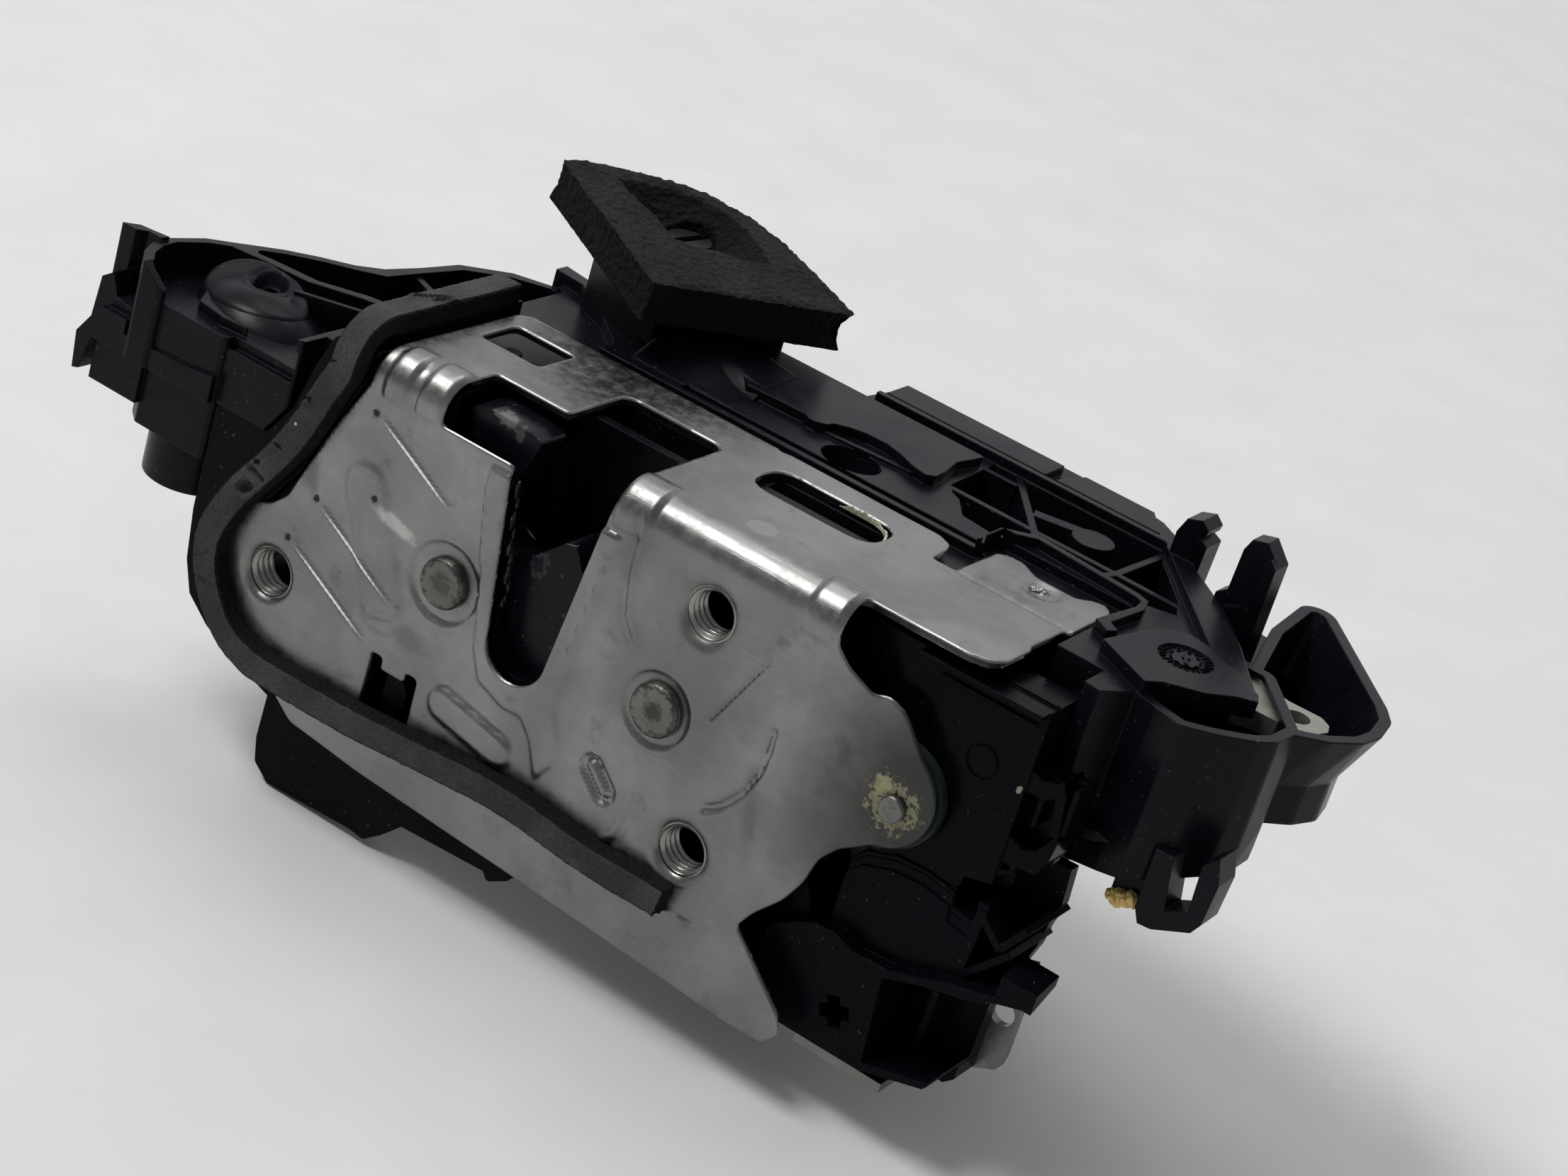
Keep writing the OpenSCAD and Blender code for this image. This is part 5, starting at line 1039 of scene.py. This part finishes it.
def ribbon(name, path, z0, z1, thick, m, seed, ragged):
    """A torn film standing on edge along a path in X and Y."""
    mid, at, side = course(path, 0.2)
    sway = [np.array([wave(a * k, seed, k) for a in at]) for k in (0.5, 1.7, 3.9)]
    fade = smooth(at, 0, 2) * fall(at, at[-1] - 1.5, at[-1])
    top = z0 + (z1 - z0) * (0.55 + ragged * (sway[0] + 0.6 * sway[1] + 0.5 * sway[2])) * fade + 0.08
    verts = []
    for off, up in ((0, 0), (0, 1), (thick, 1), (thick, 0)):
        q = mid + side * (off + 0.18 * sway[1] * up)[:, None]
        verts.append(np.column_stack([q, top if up else np.full(len(q), z0)]))
    grid = np.stack(verts, 1)
    last = (len(grid) - 1) * 4
    faces = ring_faces(len(grid), 4) + [(0, 1, 2, 3), (last + 3, last + 2, last + 1, last)]
    outward(piece(name, grid.reshape(-1, 3), faces, m), 40)


FILM_PATH = [(0.4, 28.95), (3, 28.9), (6.6, 28.8), (9, 27.7), (10.4, 25.8), (10.9, 23.6), (10.8, 21.4)]
ribbon("torn_film", FILM_PATH, 11.05, 11.95, 0.3, FILM, 3.0, 0.7)


def dial():
    """Plain date dial: short strokes round a raised bar."""
    cx, cy, z = 57.3, 32.6, 13.98
    verts, faces = [], []

    def stroke(x, y, turn, length, width, top):
        c, q = cos(turn), sin(turn)
        base = len(verts)
        for h in (-0.15, top):
            for u, v in ((-length, -width), (length * 0.9, -width * 0.6), (length, width * 0.7),
                         (-length * 0.8, width)):
                verts.append((x + u * c - v * q, y + u * q + v * c, z + h))
        faces.extend([tuple(base + k for k in f) for f in
                      ((3, 2, 1, 0), (4, 5, 6, 7), (0, 1, 5, 4), (1, 2, 6, 5), (2, 3, 7, 6), (3, 0, 4, 7))])

    for k in range(24):
        a = 2 * pi * k / 24
        n = wave(k * 1.7, 2.2, 0)
        r = 3.45 + 0.3 * n
        stroke(cx + r * cos(a), cy + r * sin(a), a + 0.5 * n, 0.55 + 0.2 * n, 0.17, 0.07)
    for k in range(9):
        a = 2 * pi * k / 9 + 0.4
        n = wave(k * 2.9, 7.2, 0)
        r = 2.2
        stroke(cx + r * cos(a), cy + r * sin(a), a + 1.2 + n, 0.34 + 0.1 * n, 0.14, 0.06)
    piece("dial_strokes", verts, faces, ENGRAVED, flat=True)
    verts, faces = [], []
    stroke(cx, cy, radians(118), 1.9, 0.26, 0.16)
    stroke(cx, cy + 0.1, radians(20), 0.7, 0.2, 0.13)
    piece("dial_bar", verts, faces, SHELL, flat=True)


dial()

lumps("weld_nub", THREAD_STEEL, [((32.3, 34.3, 11.75), (1.25, 0.9, 0.42), 4.0, 2.2)], 0.6, 4)


def sleeve(name, c, y0, y1, r_in, r_out, m, seg=64):
    """The dark moulded bore that a screw runs on into behind a threaded hole."""
    corners = ((r_in, y0), (r_out, y0), (r_out, y1), (r_in, y1))
    verts = [q for r, y in corners for q in ring(c, r, y, seg)]
    split_sharp(piece(name, verts, ring_faces(4, seg, True), m), 40)


sleeve("bore_left", min(HOLES), 6.1, 14.5, 4.15, 5.3, SHELL)


# ---------- camera, floor, light
RIGHT = Vector((0.799, 0.5364, 0.2706)).normalized()
UP = Vector((-0.4442, 0.2239, 0.8677)).normalized()
AHEAD = Vector((-0.4045, 0.8133, -0.4169)).normalized()
cam = new_object("camera", bpy.data.cameras.new("camera"))
cam.matrix_world = Matrix((RIGHT, UP, -AHEAD)).transposed().to_4x4()
cam.location = Vector((198.29, -378.12, 203.50)) * MM
cam.data.lens = 77.0
cam.data.sensor_width = 36.0
cam.data.clip_start, cam.data.clip_end = 0.01, 60
scene.camera = cam

BACKDROP = (0.72, 0.72, 0.71)
FLOOR_HALF, FLOOR_GAP = 6.0, 0.0004
FADE_FROM, FADE_TO = 0.45, 1.9
me = bpy.data.meshes.new("floor")
me.from_pydata([(x * FLOOR_HALF, y * FLOOR_HALF, 0) for x, y in ((-1, -1), (1, -1), (1, 1), (-1, 1))], [],
               [(0, 1, 2, 3)])
FLOOR_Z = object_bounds()[0].z - FLOOR_GAP
floor = new_object("floor", me)
floor.location.z = FLOOR_Z
m, t, s = tree("floor_pale")
speck = ramp(t, fuzz(t, coords(t), 30, 6), 0.35, 0.7)
feed(t, s.inputs["Base Color"], mix(t, speck, BACKDROP, (0.75, 0.75, 0.742)))
s.inputs["Roughness"].default_value = 0.7
# far from the part the floor is seen in the backdrop's own colour, so that no horizon shows
spread = length(t, put(t, "TexCoord").outputs["Object"])
far = times(t, ramp(t, spread, FADE_FROM, FADE_TO), put(t, "LightPath").outputs["Is Camera Ray"])
haze = put(t, "Emission", None, Color=BACKDROP, Strength=1.0)
veil = put(t, "MixShader", None, _0=far, _1=s.outputs["BSDF"], _2=haze.outputs[0])
feed(t, [n for n in t.nodes if n.type == "OUTPUT_MATERIAL"][0].inputs["Surface"], veil.outputs[0])
me.materials.append(m)

# the sky is brightest beyond the part, where its flange mirrors it; the camera sees the plain backdrop
BRIGHT_WAY, SKY_DIM, SKY_BRIGHT = (-0.33, 0.78, 0.53), (0.24, 0.24, 0.245), (0.78, 0.79, 0.81)
w = bpy.data.worlds.new("world")
scene.world = w
w.use_nodes = True
t = w.node_tree
t.nodes.clear()
out = t.nodes.new("ShaderNodeOutputWorld")
way = put(t, "TexCoord").outputs["Generated"]
glow = put(t, "VectorMath", {"operation": "DOT_PRODUCT"}, _0=way, _1=BRIGHT_WAY).outputs["Value"]
sky = mix(t, ramp(t, glow, 0.3, 0.95), SKY_DIM, SKY_BRIGHT)
lit = put(t, "Background", None, Color=sky, Strength=1.0)
seen = put(t, "Background", None, Color=BACKDROP, Strength=1.0)
direct = put(t, "LightPath").outputs["Is Camera Ray"]
blend = put(t, "MixShader", None, _0=direct, _1=lit.outputs[0], _2=seen.outputs[0])
feed(t, out.inputs["Surface"], blend.outputs[0])


LAMPS_LOOK_AT = Vector((0, 0.02, 0))


def lamp(name, at, power, w, h, tint):
    """A rectangular lamp w by h metres that looks at the part."""
    d = bpy.data.lights.new(name, "AREA")
    d.shape = "RECTANGLE"
    d.size, d.size_y, d.energy, d.color = w, h, power, tint
    o = new_object(name, d)
    o.location = at
    o.rotation_mode = "QUATERNION"
    o.rotation_quaternion = (LAMPS_LOOK_AT - Vector(at)).to_track_quat("-Z", "Y")


lamp("over", (-1.2, -0.75, 2.3), 42.0, 1.2, 0.8, (1, 0.99, 0.97))
lamp("above", (-0.6, 0.8, 2.3), 9.0, 1.4, 1.0, (1, 1, 1))

scene.view_settings.view_transform = "Standard"
